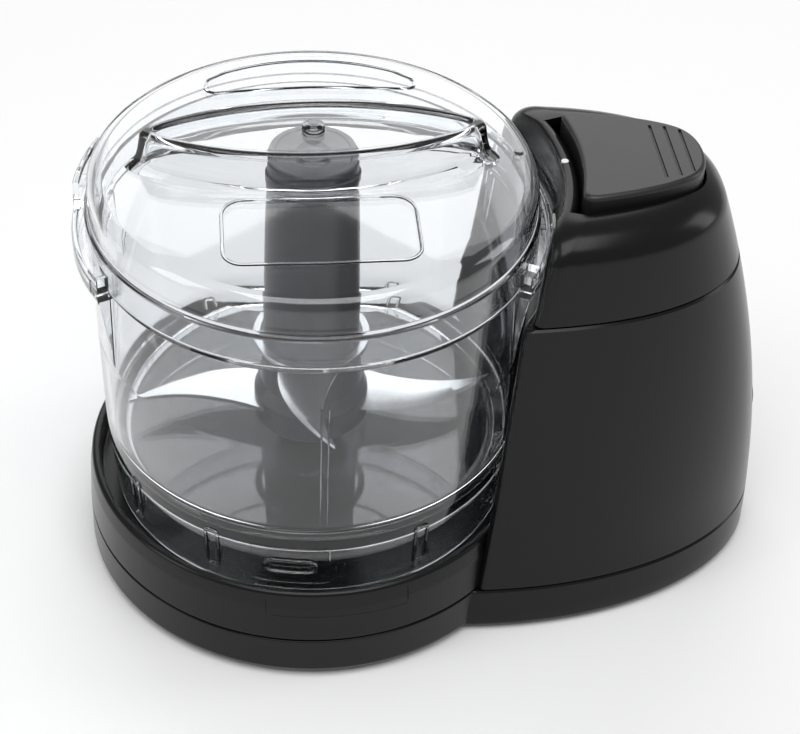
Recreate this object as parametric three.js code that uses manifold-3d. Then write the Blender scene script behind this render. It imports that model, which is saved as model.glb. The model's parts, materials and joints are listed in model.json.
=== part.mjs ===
// Small food processor: a clear bowl and lid beside a motor tower, belt driven from below.
// Millimetres, +Z up. The bowl's axis is the working axis; the finished group is shifted along X
// so that the origin is under the middle of the whole object, on the surface it stands on.
import * as THREE from 'three';
import { mergeVertices } from 'three/addons/utils/BufferGeometryUtils.js';
import Module from 'manifold-3d';

const wasm = await Module();
wasm.setup();

// ---------------------------------------------------------------- driving dimensions
const GAP = 0.35;                 // clearance between neighbouring pieces
const FLOOR = 0.3;                // underside of the bottom cover
const STAND = 0.9;                // how far the rubber feet stand below it
const SEAM = 13;                  // joint between bottom cover and main housing
const CAP_SEAM = 94;              // joint between main housing and tower cap
const CAP_TOP = 118;              // top of the tower cap at the bowl side
const WALL = 2.3;                 // moulded wall of the base
const RING_R = 61.7;              // outside of the ring that the bowl sits in
const RING_TOP = 29;
const SEAT_R = 58.2;              // recess for the bowl's skirt
const SEAT_Z = 22.5;              // floor of that recess
const NEST_R = 60.6;              // concave tower wall beside the bowl
const CAP_NEST_R = 62.4;          // the same wall in the tower cap, wider for the lid's ears
const TOWER_X = 45;               // centre of the tower's oval outline
const TOWER_END = 124.8;          // rear end of the tower at the floor
const TOWER_BOW = 0.0016;         // how the rear end draws in with height squared
const TOWER_HALF = 47.8;          // half width of the tower at the floor
const TOWER_LEAN = 0.118;         // how the half width shrinks with height
const BOWL_R = 56.5;
const BOWL_WALL = 1.8;
const BOWL_BASE = 23;             // lower edge of the bowl's skirt
const BOWL_FLOOR = 40;            // top of the bowl's floor
const BOWL_RIM = 109;
const LID_R = 57.8;
const LID_BASE = 101.5;
const LID_SHOULDER = 120.5;
const LID_TOP = 131.5;
const DRIVE_X = 90;               // motor axis
const DRIVEN_R = 30;              // pulley under the bowl
const MOTOR_PULLEY_R = 7.5;
const PULLEY_Z = 7.6;
const PULLEY_H = 9;
const SHAFT_R = 4;
const SHAFT_TOP = 92;
const MOTOR_R = 20;
const MOTOR_Z = 25;
const MOTOR_H = 48;
const HINGE_X = 71;               // button's pin, across the tower
const HINGE_Z = 112.5;
const BUTTON_TOP = 121.5;
const ROUND = 36;                 // segments on the large round pieces
const SMALL = 12;                 // segments on pins, posts and screws

// ---------------------------------------------------------------- solids and helpers
function solid(geometry) {
  const bare = geometry.clone();
  bare.deleteAttribute('normal');
  bare.deleteAttribute('uv');
  const merged = mergeVertices(bare, 1e-4);
  return new wasm.Manifold(new wasm.Mesh({
    numProp: 3,
    vertProperties: new Float32Array(merged.attributes.position.array),
    triVerts: new Uint32Array(merged.index.array),
  }));
}

function geometryOf(manifold) {
  const mesh = manifold.getMesh();
  const geometry = new THREE.BufferGeometry();
  geometry.setAttribute('position', new THREE.BufferAttribute(mesh.vertProperties, 3));
  geometry.setIndex(new THREE.BufferAttribute(mesh.triVerts, 1));
  geometry.computeVertexNormals();
  return geometry;
}

const join = (first, ...rest) => rest.reduce((sum, piece) => sum.add(piece), first);
const cut = (first, ...rest) => rest.reduce((left, piece) => left.subtract(piece), first);

// Upright cylinder or cone from z0 to z1.
function drum(r, z0, z1, x = 0, y = 0, segments = SMALL, rTop = r) {
  const geometry = new THREE.CylinderGeometry(rTop, r, z1 - z0, segments);
  geometry.rotateX(Math.PI / 2);
  geometry.translate(x, y, (z0 + z1) / 2);
  return solid(geometry);
}

// Cylinder along X or Y.
function rod(axis, r, from, to, a, b, segments = SMALL) {
  const geometry = new THREE.CylinderGeometry(r, r, to - from, segments);
  if (axis === 'x') {
    geometry.rotateZ(-Math.PI / 2);
    geometry.translate((from + to) / 2, a, b);
  } else {
    geometry.translate(a, (from + to) / 2, b);
  }
  return solid(geometry);
}

function block(x0, x1, y0, y1, z0, z1) {
  const geometry = new THREE.BoxGeometry(x1 - x0, y1 - y0, z1 - z0);
  geometry.translate((x0 + x1) / 2, (y0 + y1) / 2, (z0 + z1) / 2);
  return solid(geometry);
}

// Profile of [radius, z] points turned about the vertical line through (x, y).
function turned(profile, x = 0, y = 0, segments = ROUND) {
  const points = profile.map(([r, z]) => new THREE.Vector2(r, z));
  const geometry = new THREE.LatheGeometry(points, segments);
  geometry.rotateX(Math.PI / 2);
  geometry.translate(x, y, 0);
  return solid(geometry);
}

function ringOf(rIn, rOut, z0, z1, x = 0, y = 0, segments = ROUND) {
  return turned([[rIn, z0], [rOut, z0], [rOut, z1], [rIn, z1], [rIn, z0]], x, y, segments);
}

function plate(shape, z0, z1, curveSegments = 6) {
  const geometry = new THREE.ExtrudeGeometry(shape, { depth: z1 - z0, bevelEnabled: false, curveSegments });
  geometry.translate(0, 0, z0);
  return solid(geometry);
}

function polygon(points) {
  return new THREE.Shape(points.map(([x, y]) => new THREE.Vector2(x, y)));
}

// Sector of a ring, centred on the given angle in degrees.
function sector(rIn, rOut, z0, z1, middle, spread, segments = 8) {
  const from = THREE.MathUtils.degToRad(middle - spread / 2);
  const to = THREE.MathUtils.degToRad(middle + spread / 2);
  const shape = new THREE.Shape();
  shape.absarc(0, 0, rOut, from, to, false);
  shape.absarc(0, 0, rIn, to, from, true);
  return plate(shape, z0, z1, segments);
}

// The tower's oval body: an open-sided superellipse whose length and width follow the height.
const towerEnd = (z) => TOWER_END - TOWER_BOW * z * z;
const towerHalf = (z) => TOWER_HALF - TOWER_LEAN * z;
const towerPower = (z) => 2 + 0.4 * Math.max(0, z - 20) / 90;

function towerBody(z0, z1, inset, rows, inward = () => 0) {
  const geometry = new THREE.CylinderGeometry(1, 1, 1, 36, rows);
  geometry.rotateX(Math.PI / 2);
  const place = geometry.attributes.position;
  for (let i = 0; i < place.count; i += 1) {
    const z = z0 + (place.getZ(i) + 0.5) * (z1 - z0);
    const reach = Math.hypot(place.getX(i), place.getY(i));
    const turn = Math.atan2(place.getY(i), place.getX(i));
    const draw = inset + inward(z);
    const power = 2 / towerPower(z);
    const along = Math.sign(Math.cos(turn)) * Math.abs(Math.cos(turn)) ** power;
    const across = Math.sign(Math.sin(turn)) * Math.abs(Math.sin(turn)) ** power;
    const length = towerEnd(z) - TOWER_X - draw;
    place.setXYZ(i, TOWER_X + reach * length * along, reach * (towerHalf(z) - draw) * across, z);
  }
  return solid(geometry);
}

const finish = {
  housing: { color: 0x0c0c0d, roughness: 0.25, metalness: 0 },
  clear: { color: 0xeef3f5, roughness: 0.05, metalness: 0, transparent: true, opacity: 0.3 },
  hub: { color: 0x3c4047, roughness: 0.45, metalness: 0 },
  steel: { color: 0xc9ccd0, roughness: 0.25, metalness: 1 },
  dark: { color: 0x202226, roughness: 0.6, metalness: 0 },
  brass: { color: 0xc9a14a, roughness: 0.35, metalness: 1 },
  zinc: { color: 0x9aa0a6, roughness: 0.4, metalness: 1 },
  copper: { color: 0xb4622d, roughness: 0.4, metalness: 1 },
  rubber: { color: 0x1a1a1a, roughness: 0.9, metalness: 0 },
  nylon: { color: 0xe8e4d8, roughness: 0.5, metalness: 0 },
  board: { color: 0x3f7a4a, roughness: 0.6, metalness: 0 },
  carbon: { color: 0x2b2b2b, roughness: 0.7, metalness: 0 },
};

const model = new THREE.Group();

function add(name, manifold, look) {
  const mesh = new THREE.Mesh(geometryOf(manifold), new THREE.MeshStandardMaterial(finish[look]));
  mesh.name = name;
  model.add(mesh);
}

// ---------------------------------------------------------------- base
const TOWER_BOSS = [[104, 24], [104, -24]];
const RING_BOSS = [[-30, 42], [-30, -42]];
const SCREWS = [...RING_BOSS, ...TOWER_BOSS];
const CAP_POSTS = [[72, 27], [72, -27]];
const FEET = [[-38, 38], [-38, -38], [88, 31], [88, -31]];
const FOOT_R = 5.5;
const GLAND_Z = 40;

function bowlSpace(radius, z0) {
  return drum(radius, z0, 200, 0, 0, ROUND);
}

function mainHousing() {
  const tower = towerBody(SEAM, CAP_SEAM - GAP / 2, 0, 3).subtract(bowlSpace(NEST_R, RING_TOP - 2));
  const ring = turned([
    [0, SEAM], [RING_R, SEAM], [RING_R - 0.6, RING_TOP - 4],
    [RING_R - 1.3, RING_TOP - 1], [RING_R - 2.4, RING_TOP],
    [SEAT_R, RING_TOP - 1.4], [SEAT_R, SEAT_Z], [0, SEAT_Z],
  ]);
  const towerSpace = towerBody(SEAM - 1, CAP_SEAM + 2, WALL, 3)
    .subtract(drum(NEST_R + WALL, SEAT_Z - WALL, 200, 0, 0, ROUND));
  const pulleySpace = drum(RING_R - WALL, SEAM - 1, SEAT_Z - WALL, 0, 0, ROUND);
  const boss = turned([
    [0, SEAT_Z - 4], [9, SEAT_Z - 4], [9, SEAT_Z + 8], [8, SEAT_Z + 11], [0, SEAT_Z + 11],
  ], 0, 0, 20);
  const post = (x, y, top) => drum(4, FLOOR + 6.4, top, x, y);
  const shelf = towerBody(CAP_SEAM - 8, CAP_SEAM - 2, 1, 1);
  const lugs = CAP_POSTS.map(([x, y]) => block(x - 4.5, x + 4.5, y - 4.5, y + 4.5, CAP_SEAM - 7, CAP_SEAM - 4)
    .add(block(x - 4.5, x + 4.5, Math.min(y, 1.5 * y), Math.max(y, 1.5 * y), CAP_SEAM - 7, CAP_SEAM - 4))
    .intersect(shelf));
  return cut(
    join(
      cut(tower.add(ring), towerSpace, pulleySpace, bowlSpace(SEAT_R, SEAT_Z)),
      boss,
      ...RING_BOSS.map(([x, y]) => post(x, y, SEAT_Z - 0.5)),
      ...TOWER_BOSS.map(([x, y]) => post(x, y, 34)),
      ...lugs,
    ),
    drum(6.4, SEAT_Z - 8, SEAT_Z + 12, 0, 0, 20),
    ...SCREWS.map(([x, y]) => drum(1.9, 0, 19, x, y, 10)),
    ...CAP_POSTS.map(([x, y]) => drum(1.6, CAP_SEAM - 9, CAP_SEAM, x, y, 10)),
    rod('x', 5.6, 100, 130, 0, GLAND_Z),
  );
}
add('main_housing', mainHousing(), 'housing');

function bottomCover() {
  const lower = turned([[0, FLOOR], [RING_R - 1.4, FLOOR], [RING_R - 0.3, FLOOR + 1.4], [RING_R, SEAM - GAP],
    [0, SEAM - GAP]]);
  const foot = towerBody(FLOOR, SEAM - GAP, 0, 3, (z) => (z < FLOOR + 0.5 ? 1.4 : 0));
  const inside = join(drum(RING_R - 0.2 - WALL, FLOOR + WALL, SEAM + 1, 0, 0, ROUND),
    towerBody(FLOOR + WALL, SEAM + 1, WALL + 0.2, 2));
  const bearing = drum(9, FLOOR + 1, PULLEY_Z - 1.2, 0, 0, 20);
  const posts = [[DRIVE_X, 27], [DRIVE_X, -27]].map(([x, y]) => drum(3.6, FLOOR + 1, MOTOR_Z - 4.4, x, y));
  const well = (x, y) => drum(4.2, FLOOR + 1, FLOOR + 6, x, y);
  const slots = [];
  for (const x of [70, 76, 82, 98, 104]) {
    slots.push(block(x - 1.2, x + 1.2, -15, 15, FLOOR - 1, FLOOR + WALL + 1));
  }
  return cut(
    join(cut(lower.add(foot), inside), bearing, ...posts, ...SCREWS.map(([x, y]) => well(x, y))),
    drum(5.9, FLOOR + 1.6, PULLEY_Z, 0, 0, 20),
    ...SCREWS.map(([x, y]) => drum(1.9, FLOOR - 1, FLOOR + 7, x, y, 10)),
    ...SCREWS.map(([x, y]) => drum(3.5, FLOOR - 1, FLOOR + 2.4, x, y)),
    ...TOWER_BOSS.map(([x, y]) => drum(4.4, FLOOR + 6, SEAM, x, y)),
    ...FEET.map(([x, y]) => drum(FOOT_R + GAP, FLOOR - 1, FLOOR + 1, x, y, 16)),
    ...[[DRIVE_X, 27], [DRIVE_X, -27]].map(([x, y]) => drum(1.2, MOTOR_Z - 14, MOTOR_Z, x, y, 8)),
    ...slots,
  );
}
add('bottom_cover', bottomCover(), 'housing');

FEET.forEach(([x, y], i) => {
  add(`rubber_foot_${i + 1}`, turned([[0, -STAND], [FOOT_R - 0.8, -STAND], [FOOT_R, 0.6 - STAND], [FOOT_R, FLOOR + 1 - GAP],
    [0, FLOOR + 1 - GAP]], x, y, 16), 'rubber');
});

// Pan-head screw pointing up: head underneath, shank above.
function screw(x, y, z, length, shank = 1.5, head = 3, headHeight = 1.9) {
  return turned([[0, z], [head - 0.6, z], [head, z + 0.5], [head, z + headHeight], [shank, z + headHeight],
    [shank, z + headHeight + length - 1], [0, z + headHeight + length]], x, y, 10);
}
SCREWS.forEach(([x, y], i) => {
  add(`base_screw_${i + 1}`, screw(x, y, FLOOR + 0.2, 12.5), 'zinc');
});

// ---------------------------------------------------------------- tower cap
const SHOULDER_H = 7.2;
const SHOULDER_W = 9.5;
// The cap's rounded shoulder: a quarter ellipse, wider than it is high.
const capDrop = (z) => {
  const up = Math.min(1, Math.max(0, (z - CAP_TOP + SHOULDER_H) / SHOULDER_H));
  return SHOULDER_W * (1 - Math.sqrt(1 - up * up));
};
const BUTTON_ARC = 67.4;

// Outline of the button seen from above, grown by a margin.
function buttonShape(margin) {
  const shape = new THREE.Shape();
  const arc = BUTTON_ARC - margin;
  const half = 20.4 + margin;
  const spread = Math.asin(half / arc);
  shape.absarc(0, 0, arc, -spread, spread, false);
  shape.bezierCurveTo(78, 18.6 + margin, 88, 15.6 + margin, 94.5, 11.6 + margin);
  shape.bezierCurveTo(100.4 + margin, 8 + margin, 100.4 + margin, -8 - margin, 94.5, -11.6 - margin);
  shape.bezierCurveTo(88, -15.6 - margin, 78, -18.6 - margin, arc * Math.cos(spread), -half);
  return shape;
}

function towerCap() {
  const outer = cut(towerBody(CAP_SEAM + GAP / 2, CAP_TOP, 0, 6, capDrop), bowlSpace(CAP_NEST_R, 0));
  const inner = cut(towerBody(CAP_SEAM - 1, CAP_TOP - WALL, WALL, 4, (z) => capDrop(z + WALL)),
    bowlSpace(CAP_NEST_R + WALL, 0));
  const well = plate(buttonShape(3), CAP_TOP - 4.6, CAP_TOP - 0.5 + 4);
  const wellWall = plate(buttonShape(4.6), CAP_TOP - 6.2, CAP_TOP - 1);
  const opening = plate(buttonShape(0.9), CAP_TOP - 12, CAP_TOP + 2);
  const ears = [11.6, -11.6].map((y) => block(HINGE_X - 2.4, HINGE_X + 3, y - 1, y + 1, HINGE_Z - 6, HINGE_Z + 2.2));
  const bridge = block(CAP_NEST_R - 4, HINGE_X + 3, -15, 15, HINGE_Z - 6.5, HINGE_Z - 4.5);
  const posts = CAP_POSTS.map(([x, y]) => drum(3.4, CAP_SEAM - 3.6, CAP_TOP - 4, x, y));
  const within = cut(towerBody(CAP_SEAM - 6, CAP_TOP - 1, 1, 3, capDrop), bowlSpace(CAP_NEST_R + 1, 0));
  return cut(
    join(
      cut(join(cut(outer, inner), wellWall.intersect(within)), well, opening),
      ...ears.map((ear) => ear.intersect(within)),
      bridge.intersect(within),
      ...posts.map((post) => post.intersect(within)),
    ),
    rod('y', 1.35, -20, 20, HINGE_X, HINGE_Z, 20),
    rod('x', 2.4, 55, 70, 0, 100.5, 24),
    ...CAP_POSTS.map(([x, y]) => drum(1.2, CAP_SEAM - 5, CAP_SEAM + 9, x, y, 8)),
  );
}
add('tower_cap', towerCap(), 'housing');
CAP_POSTS.forEach(([x, y], i) => {
  add(`cap_screw_${i + 1}`, screw(x, y, CAP_SEAM - 9.3, 11, 0.85, 2.7), 'zinc');
});

// ---------------------------------------------------------------- pulse button
function pulseButton() {
  const skin = plate(buttonShape(0), CAP_TOP - 8, BUTTON_TOP, 7);
  const hollow = plate(buttonShape(-1.8), CAP_TOP - 9, BUTTON_TOP - 2, 7);
  const lugs = [9, -9].map((y) => join(
    block(HINGE_X - 2.6, HINGE_X + 2.6, y - 1.5, y + 1.5, HINGE_Z, BUTTON_TOP - 1),
    rod('y', 2.6, y - 1.5, y + 1.5, HINGE_X, HINGE_Z, 20),
  ));
  const striker = drum(2, 106.6, BUTTON_TOP - 1, 92, 0, 20);
  const springPin = drum(1.6, BUTTON_TOP - 5, BUTTON_TOP - 1, 82, 0, 16);
  const grooves = [[87, 11.7], [90.7, 11.1], [94.3, 9.4]].map(([x, half]) => block(x - 0.4, x + 0.4, -half, half,
    BUTTON_TOP - 0.7, BUTTON_TOP + 1));
  return cut(join(skin.subtract(hollow), ...lugs, striker, springPin),
    rod('y', 1.35, -20, 20, HINGE_X, HINGE_Z, 20), ...grooves);
}
add('pulse_button', pulseButton(), 'housing');
add('button_hinge_pin', rod('y', 1.25, -14.2, 14.2, HINGE_X, HINGE_Z, 20), 'steel');

// Closed-coil spring as a helix of round wire.
class Helix extends THREE.Curve {
  constructor(radius, z0, z1, turns, x, y) {
    super();
    Object.assign(this, { radius, z0, z1, turns, x, y });
  }

  getPoint(t, target = new THREE.Vector3()) {
    const angle = t * this.turns * 2 * Math.PI;
    return target.set(this.x + this.radius * Math.cos(angle), this.y + this.radius * Math.sin(angle),
      this.z0 + t * (this.z1 - this.z0));
  }
}

function spring(radius, wire, z0, z1, turns, x, y) {
  const section = new THREE.Shape().absarc(0, 0, wire, 0, 2 * Math.PI, false);
  return solid(new THREE.ExtrudeGeometry(section, {
    steps: turns * 8, curveSegments: 2, bevelEnabled: false,
    extrudePath: new Helix(radius, z0 + wire, z1 - wire, turns, x, y),
  }));
}
add('button_spring', spring(3, 0.35, 99.6, BUTTON_TOP - 2.4, 7, 82, 0), 'steel');

// ---------------------------------------------------------------- switches and wiring plate
function switchPlate() {
  const shape = polygon([[76.5, -13], [101, -13], [101, 13], [76.5, 13]]);
  const legs = [12, -12].map((y) => block(84, 92, y - 1, y + 1, 83, 98));
  return cut(join(plate(shape, 97, 99), ...legs), block(86.4, 97.6, -3.9, 3.9, 96, 100));
}
add('switch_plate', switchPlate(), 'dark');

function pulseSwitch() {
  return cut(join(block(86.8, 97.2, -3.5, 3.5, 92, 102), block(88, 96, -0.4, 0.4, 87, 92.5)),
    drum(1.5, 97.6, 104, 92, 0, 20));
}
add('pulse_switch', pulseSwitch(), 'dark');
add('switch_plunger', drum(1.15, 99.6, 106.2, 92, 0, 20), 'nylon');

add('interlock_pin', join(rod('x', 2, 62.25, 69.2, 0, 100.5), rod('x', 3.1, 66.6, 67.9, 0, 100.5)), 'nylon');
add('interlock_switch', join(block(70, 75.8, -6, 6, 94.5, 104.5), block(72, 74, -4.5, -4, 89, 95),
  block(72, 74, 4, 4.5, 89, 95)), 'dark');

// ---------------------------------------------------------------- drive
const PULLEY_TOP = PULLEY_Z + PULLEY_H;

// Pulley profile: a flat track between two low flanges.
function pulleyProfile(r, bore) {
  return [[bore, PULLEY_Z], [r + 1.2, PULLEY_Z], [r + 1.2, PULLEY_Z + 0.8], [r, PULLEY_Z + 1.2],
    [r, PULLEY_TOP], [bore, PULLEY_TOP], [bore, PULLEY_Z]];
}

function drivenPulley() {
  const web = ringOf(10, DRIVEN_R - 3, PULLEY_Z + 2.6, PULLEY_TOP + 1);
  const under = ringOf(10, DRIVEN_R - 3, PULLEY_Z - 1, PULLEY_Z + 1.2);
  const windows = [];
  for (let k = 0; k < 5; k += 1) {
    const turn = k * 2 * Math.PI / 5;
    windows.push(drum(5.5, PULLEY_Z - 1, PULLEY_TOP + 1, 19 * Math.cos(turn), 19 * Math.sin(turn)));
  }
  return cut(turned(pulleyProfile(DRIVEN_R, SHAFT_R + GAP)), web, under, ...windows);
}
add('driven_pulley', drivenPulley(), 'nylon');
add('motor_pulley', turned(pulleyProfile(MOTOR_PULLEY_R, 2.5 + GAP / 2), DRIVE_X, 0, 20), 'dark');

function driveShaft() {
  const hexTop = drum(SHAFT_R + 0.2, 62, SHAFT_TOP, 0, 0, 6, SHAFT_R - 0.4);
  return join(drum(SHAFT_R, FLOOR + 2.2, 62, 0, 0, 24), hexTop);
}
add('drive_shaft', driveShaft(), 'steel');
add('lower_bush', ringOf(SHAFT_R + 0.15, 5.6, FLOOR + 1.9, PULLEY_Z - 1.2, 0, 0, 20), 'brass');
add('upper_bush', turned([[SHAFT_R + 0.15, SEAT_Z - 4.4], [6.1, SEAT_Z - 4.4], [6.1, SEAT_Z + 11.4],
  [7.4, SEAT_Z + 11.4], [7.4, SEAT_Z + 12.4], [SHAFT_R + 0.15, SEAT_Z + 12.4],
  [SHAFT_R + 0.15, SEAT_Z - 4.4]], 0, 0, 20), 'brass');
add('thrust_washer', ringOf(SHAFT_R + GAP, 7.6, PULLEY_TOP + 0.3, PULLEY_TOP + 0.9, 0, 0, 20), 'steel');

// Flat belt with inner ribs, round both pulleys on its common tangents.
function beltShape(rBig, rSmall) {
  const lean = Math.acos((rBig - rSmall) / DRIVE_X);
  const shape = new THREE.Shape();
  shape.absarc(0, 0, rBig, lean, 2 * Math.PI - lean, false);
  shape.absarc(DRIVE_X, 0, rSmall, -lean, lean, false);
  return shape;
}
function driveBelt() {
  const outer = plate(beltShape(DRIVEN_R + 2, MOTOR_PULLEY_R + 2), PULLEY_Z + 1.5, PULLEY_TOP - 0.9, 16);
  return outer.subtract(plate(beltShape(DRIVEN_R + 0.5, MOTOR_PULLEY_R + 0.5), PULLEY_Z, PULLEY_TOP + 1, 16));
}
add('drive_belt', driveBelt(), 'rubber');

// ---------------------------------------------------------------- motor
const MOTOR_TOP = MOTOR_Z + MOTOR_H;
function motorCan() {
  const can = cut(drum(MOTOR_R, MOTOR_Z, MOTOR_TOP, DRIVE_X, 0, 24),
    drum(MOTOR_R - 1.4, MOTOR_Z + 1.4, MOTOR_TOP + 1, DRIVE_X, 0, 24));
  return cut(can, drum(4.4, MOTOR_Z - 1, MOTOR_Z + 3, DRIVE_X, 0, 20),
    ...[9.5, -9.5].map((y) => drum(1.6, MOTOR_Z - 1, MOTOR_Z + 3, DRIVE_X, y, 10)));
}
add('motor_can', motorCan(), 'zinc');
[1, -1].forEach((side, i) => {
  const magnet = sector(13.4, MOTOR_R - 1.4 - GAP, MOTOR_Z + 6, MOTOR_TOP - 14, 90 * side, 130, 12);
  add(`field_magnet_${i + 1}`, magnet.translate([DRIVE_X, 0, 0]), 'carbon');
});
add('motor_end_cap', cut(
  join(drum(MOTOR_R, MOTOR_TOP + GAP, MOTOR_TOP + 4, DRIVE_X, 0, 24),
    ringOf(MOTOR_R - 4, MOTOR_R - 1.8, MOTOR_TOP - 4, MOTOR_TOP + 1, DRIVE_X, 0, 24),
    drum(6, MOTOR_TOP + 3, MOTOR_TOP + 6.5, DRIVE_X, 0, 24)),
  drum(2.65, MOTOR_TOP - 5, MOTOR_TOP + 7, DRIVE_X, 0, 24),
  ...[1, -1].map((side) => block(DRIVE_X + side * 12 - 2, DRIVE_X + side * 12 + 2, -2.5, 2.5, MOTOR_TOP - 5,
    MOTOR_TOP + 6)),
), 'nylon');
add('motor_shaft', drum(2.5, PULLEY_Z - 1, MOTOR_TOP + 5.6, DRIVE_X, 0, 24), 'steel');

const POLES = 5;
const turnedAbout = (piece, k) => piece.rotate([0, 0, k * 360 / POLES]).translate([DRIVE_X, 0, 0]);

function rotorCore() {
  const slots = [];
  for (let k = 0; k < POLES; k += 1) {
    slots.push(turnedAbout(block(5.2, 14, -1.6, 1.6, MOTOR_Z, MOTOR_TOP), k));
  }
  return cut(ringOf(2.8, 12.8, MOTOR_Z + 9, MOTOR_TOP - 18, DRIVE_X, 0, 30), ...slots);
}
add('rotor_core', rotorCore(), 'zinc');
for (let k = 0; k < POLES; k += 1) {
  add(`rotor_winding_${k + 1}`, turnedAbout(block(5.6, 12, -1.25, 1.25, MOTOR_Z + 6.5, MOTOR_TOP - 15.5), k),
    'copper');
}
add('commutator', ringOf(2.5 + 0.3, 6, MOTOR_TOP - 13, MOTOR_TOP - 5.4, DRIVE_X, 0, 24), 'copper');
[1, -1].forEach((side, i) => {
  const near = DRIVE_X + side * 6.3;
  const far = DRIVE_X + side * 14;
  add(`carbon_brush_${i + 1}`, block(Math.min(near, far), Math.max(near, far), -2, 2, MOTOR_TOP - 12,
    MOTOR_TOP - 6), 'carbon');
});

function motorBracket() {
  const shape = polygon([[DRIVE_X - 17, -14], [DRIVE_X - 5, -31], [DRIVE_X + 3, -31], [DRIVE_X + 14, -13],
    [DRIVE_X + 14, 13], [DRIVE_X + 3, 31], [DRIVE_X - 5, 31], [DRIVE_X - 17, 14]]);
  return cut(plate(shape, MOTOR_Z - 4, MOTOR_Z - 2), drum(4.4, 0, 40, DRIVE_X, 0, 24),
    ...[9.5, -9.5].map((y) => drum(1.6, 0, 40, DRIVE_X, y, 10)),
    ...[27, -27].map((y) => drum(1.6, 0, 40, DRIVE_X, y, 10)));
}
add('motor_bracket', motorBracket(), 'zinc');
[9.5, -9.5].forEach((y, i) => {
  add(`motor_screw_${i + 1}`, turned([[0, MOTOR_Z - 6.3], [2.6, MOTOR_Z - 6.3], [2.6, MOTOR_Z - 4.35],
    [1.2, MOTOR_Z - 4.35], [1.2, MOTOR_Z + 3], [0, MOTOR_Z + 3]], DRIVE_X, y, 10), 'zinc');
});
[27, -27].forEach((y, i) => {
  add(`bracket_screw_${i + 1}`, turned([[0, MOTOR_Z - 12], [0.85, MOTOR_Z - 12], [0.85, MOTOR_Z - 1.65],
    [2.8, MOTOR_Z - 1.65], [2.8, MOTOR_Z + 0.2], [0, MOTOR_Z + 0.2]], DRIVE_X, y, 10), 'zinc');
});
add('rectifier_board', join(block(78, 104, 17.5, 19, 81, 92).intersect(towerBody(70, 95, WALL + 1.5, 2)),
  block(84, 90, 14, 18, 84.5, 90)), 'board');
add('cord_gland', turned([[3.1, 0], [5, 0], [5, 3.9], [7.4, 3.9], [7.4, 5.5], [3.1, 5.5], [3.1, 0]], 0, 0, 16)
  .rotate([0, -90, 0]).translate([towerEnd(GLAND_Z) - 0.2, 0, GLAND_Z]), 'rubber');

// ---------------------------------------------------------------- bowl
function bowl() {
  const shell = turned([
    [0, BOWL_FLOOR - BOWL_WALL], [BOWL_R - BOWL_WALL - 1.6, BOWL_FLOOR - BOWL_WALL],
    [BOWL_R - BOWL_WALL - 2.4, BOWL_BASE], [BOWL_R - 2.4, BOWL_BASE],
    [BOWL_R - 0.7, BOWL_FLOOR + 4], [BOWL_R, 74], [BOWL_R, LID_BASE - 2], [BOWL_R - 0.6, LID_BASE - 0.8],
    [BOWL_R - 0.6, BOWL_RIM], [BOWL_R - BOWL_WALL, BOWL_RIM], [BOWL_R - BOWL_WALL, 74],
    [BOWL_R - BOWL_WALL - 0.7, BOWL_FLOOR + 6], [BOWL_R - BOWL_WALL - 4, BOWL_FLOOR], [0, BOWL_FLOOR],
  ]);
  const tube = drum(9, BOWL_FLOOR - 3, 66, 0, 0, 40, 8);
  const ears = [0, 180].map((deg) => sector(BOWL_R - 0.5, NEST_R - 0.6, LID_BASE - 4.2, LID_BASE - 2.2, deg, 56));
  return cut(join(shell, tube, ...ears), drum(6.6, BOWL_FLOOR - 4, 67, 0, 0, 40, 5.6));
}
add('bowl', bowl(), 'clear');

// ---------------------------------------------------------------- lid
const GRIP_HALF = 43;
const GRIP_WIDE = 13.5;

// Almond outline of the raised grip along X: two arcs that meet in rounded points.
function gripShape(margin) {
  const length = GRIP_HALF + margin;
  const wide = GRIP_WIDE + margin;
  const radius = (length * length + wide * wide) / (2 * wide);
  const spread = Math.asin(length / radius);
  const shape = new THREE.Shape();
  shape.absarc(0, wide - radius, radius, Math.PI / 2 - spread, Math.PI / 2 + spread, false);
  shape.absarc(0, radius - wide, radius, 1.5 * Math.PI - spread, 1.5 * Math.PI + spread, false);
  return shape;
}

function lid() {
  const wall = 1.5;
  const rise = LID_TOP - 6.5;
  const shell = turned([
    [0, rise - wall], [10, rise - wall - 0.3], [LID_R - 5.4, LID_SHOULDER - wall],
    [LID_R - 3, LID_SHOULDER - 4], [LID_R - 2.7, BOWL_RIM + 1.2], [LID_R - 1.4, BOWL_RIM + 0.6],
    [LID_R - 1.4, LID_BASE], [LID_R, LID_BASE], [LID_R, BOWL_RIM + 1], [LID_R - 1.1, BOWL_RIM + 2.2],
    [LID_R - 1.3, LID_SHOULDER - 3], [LID_R - 2.6, LID_SHOULDER - 1], [LID_R - 5, LID_SHOULDER],
    [10, rise - 0.3], [0, rise],
  ]);
  const grip = plate(gripShape(0), LID_SHOULDER, LID_TOP, 10);
  const gripInside = plate(gripShape(-wall), LID_SHOULDER - 6, LID_TOP - wall, 10);
  const ears = [0, 180].map((deg) => sector(LID_R - 0.6, NEST_R + 0.6, LID_BASE - 1.2, LID_BASE + 1.2, deg, 60));
  const tab = sector(LID_R - 0.6, NEST_R + 0.8, LID_BASE - 1.2, LID_BASE + 12, 165, 22);
  const key = sector(LID_R - 0.6, NEST_R + 1.3, LID_BASE - 1.8, LID_BASE + 1, 0, 8);
  return join(cut(shell.add(grip), gripInside), ...ears, tab, key, drum(3, LID_TOP - 0.5, LID_TOP + 1.5));
}
add('lid', lid(), 'clear');

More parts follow.
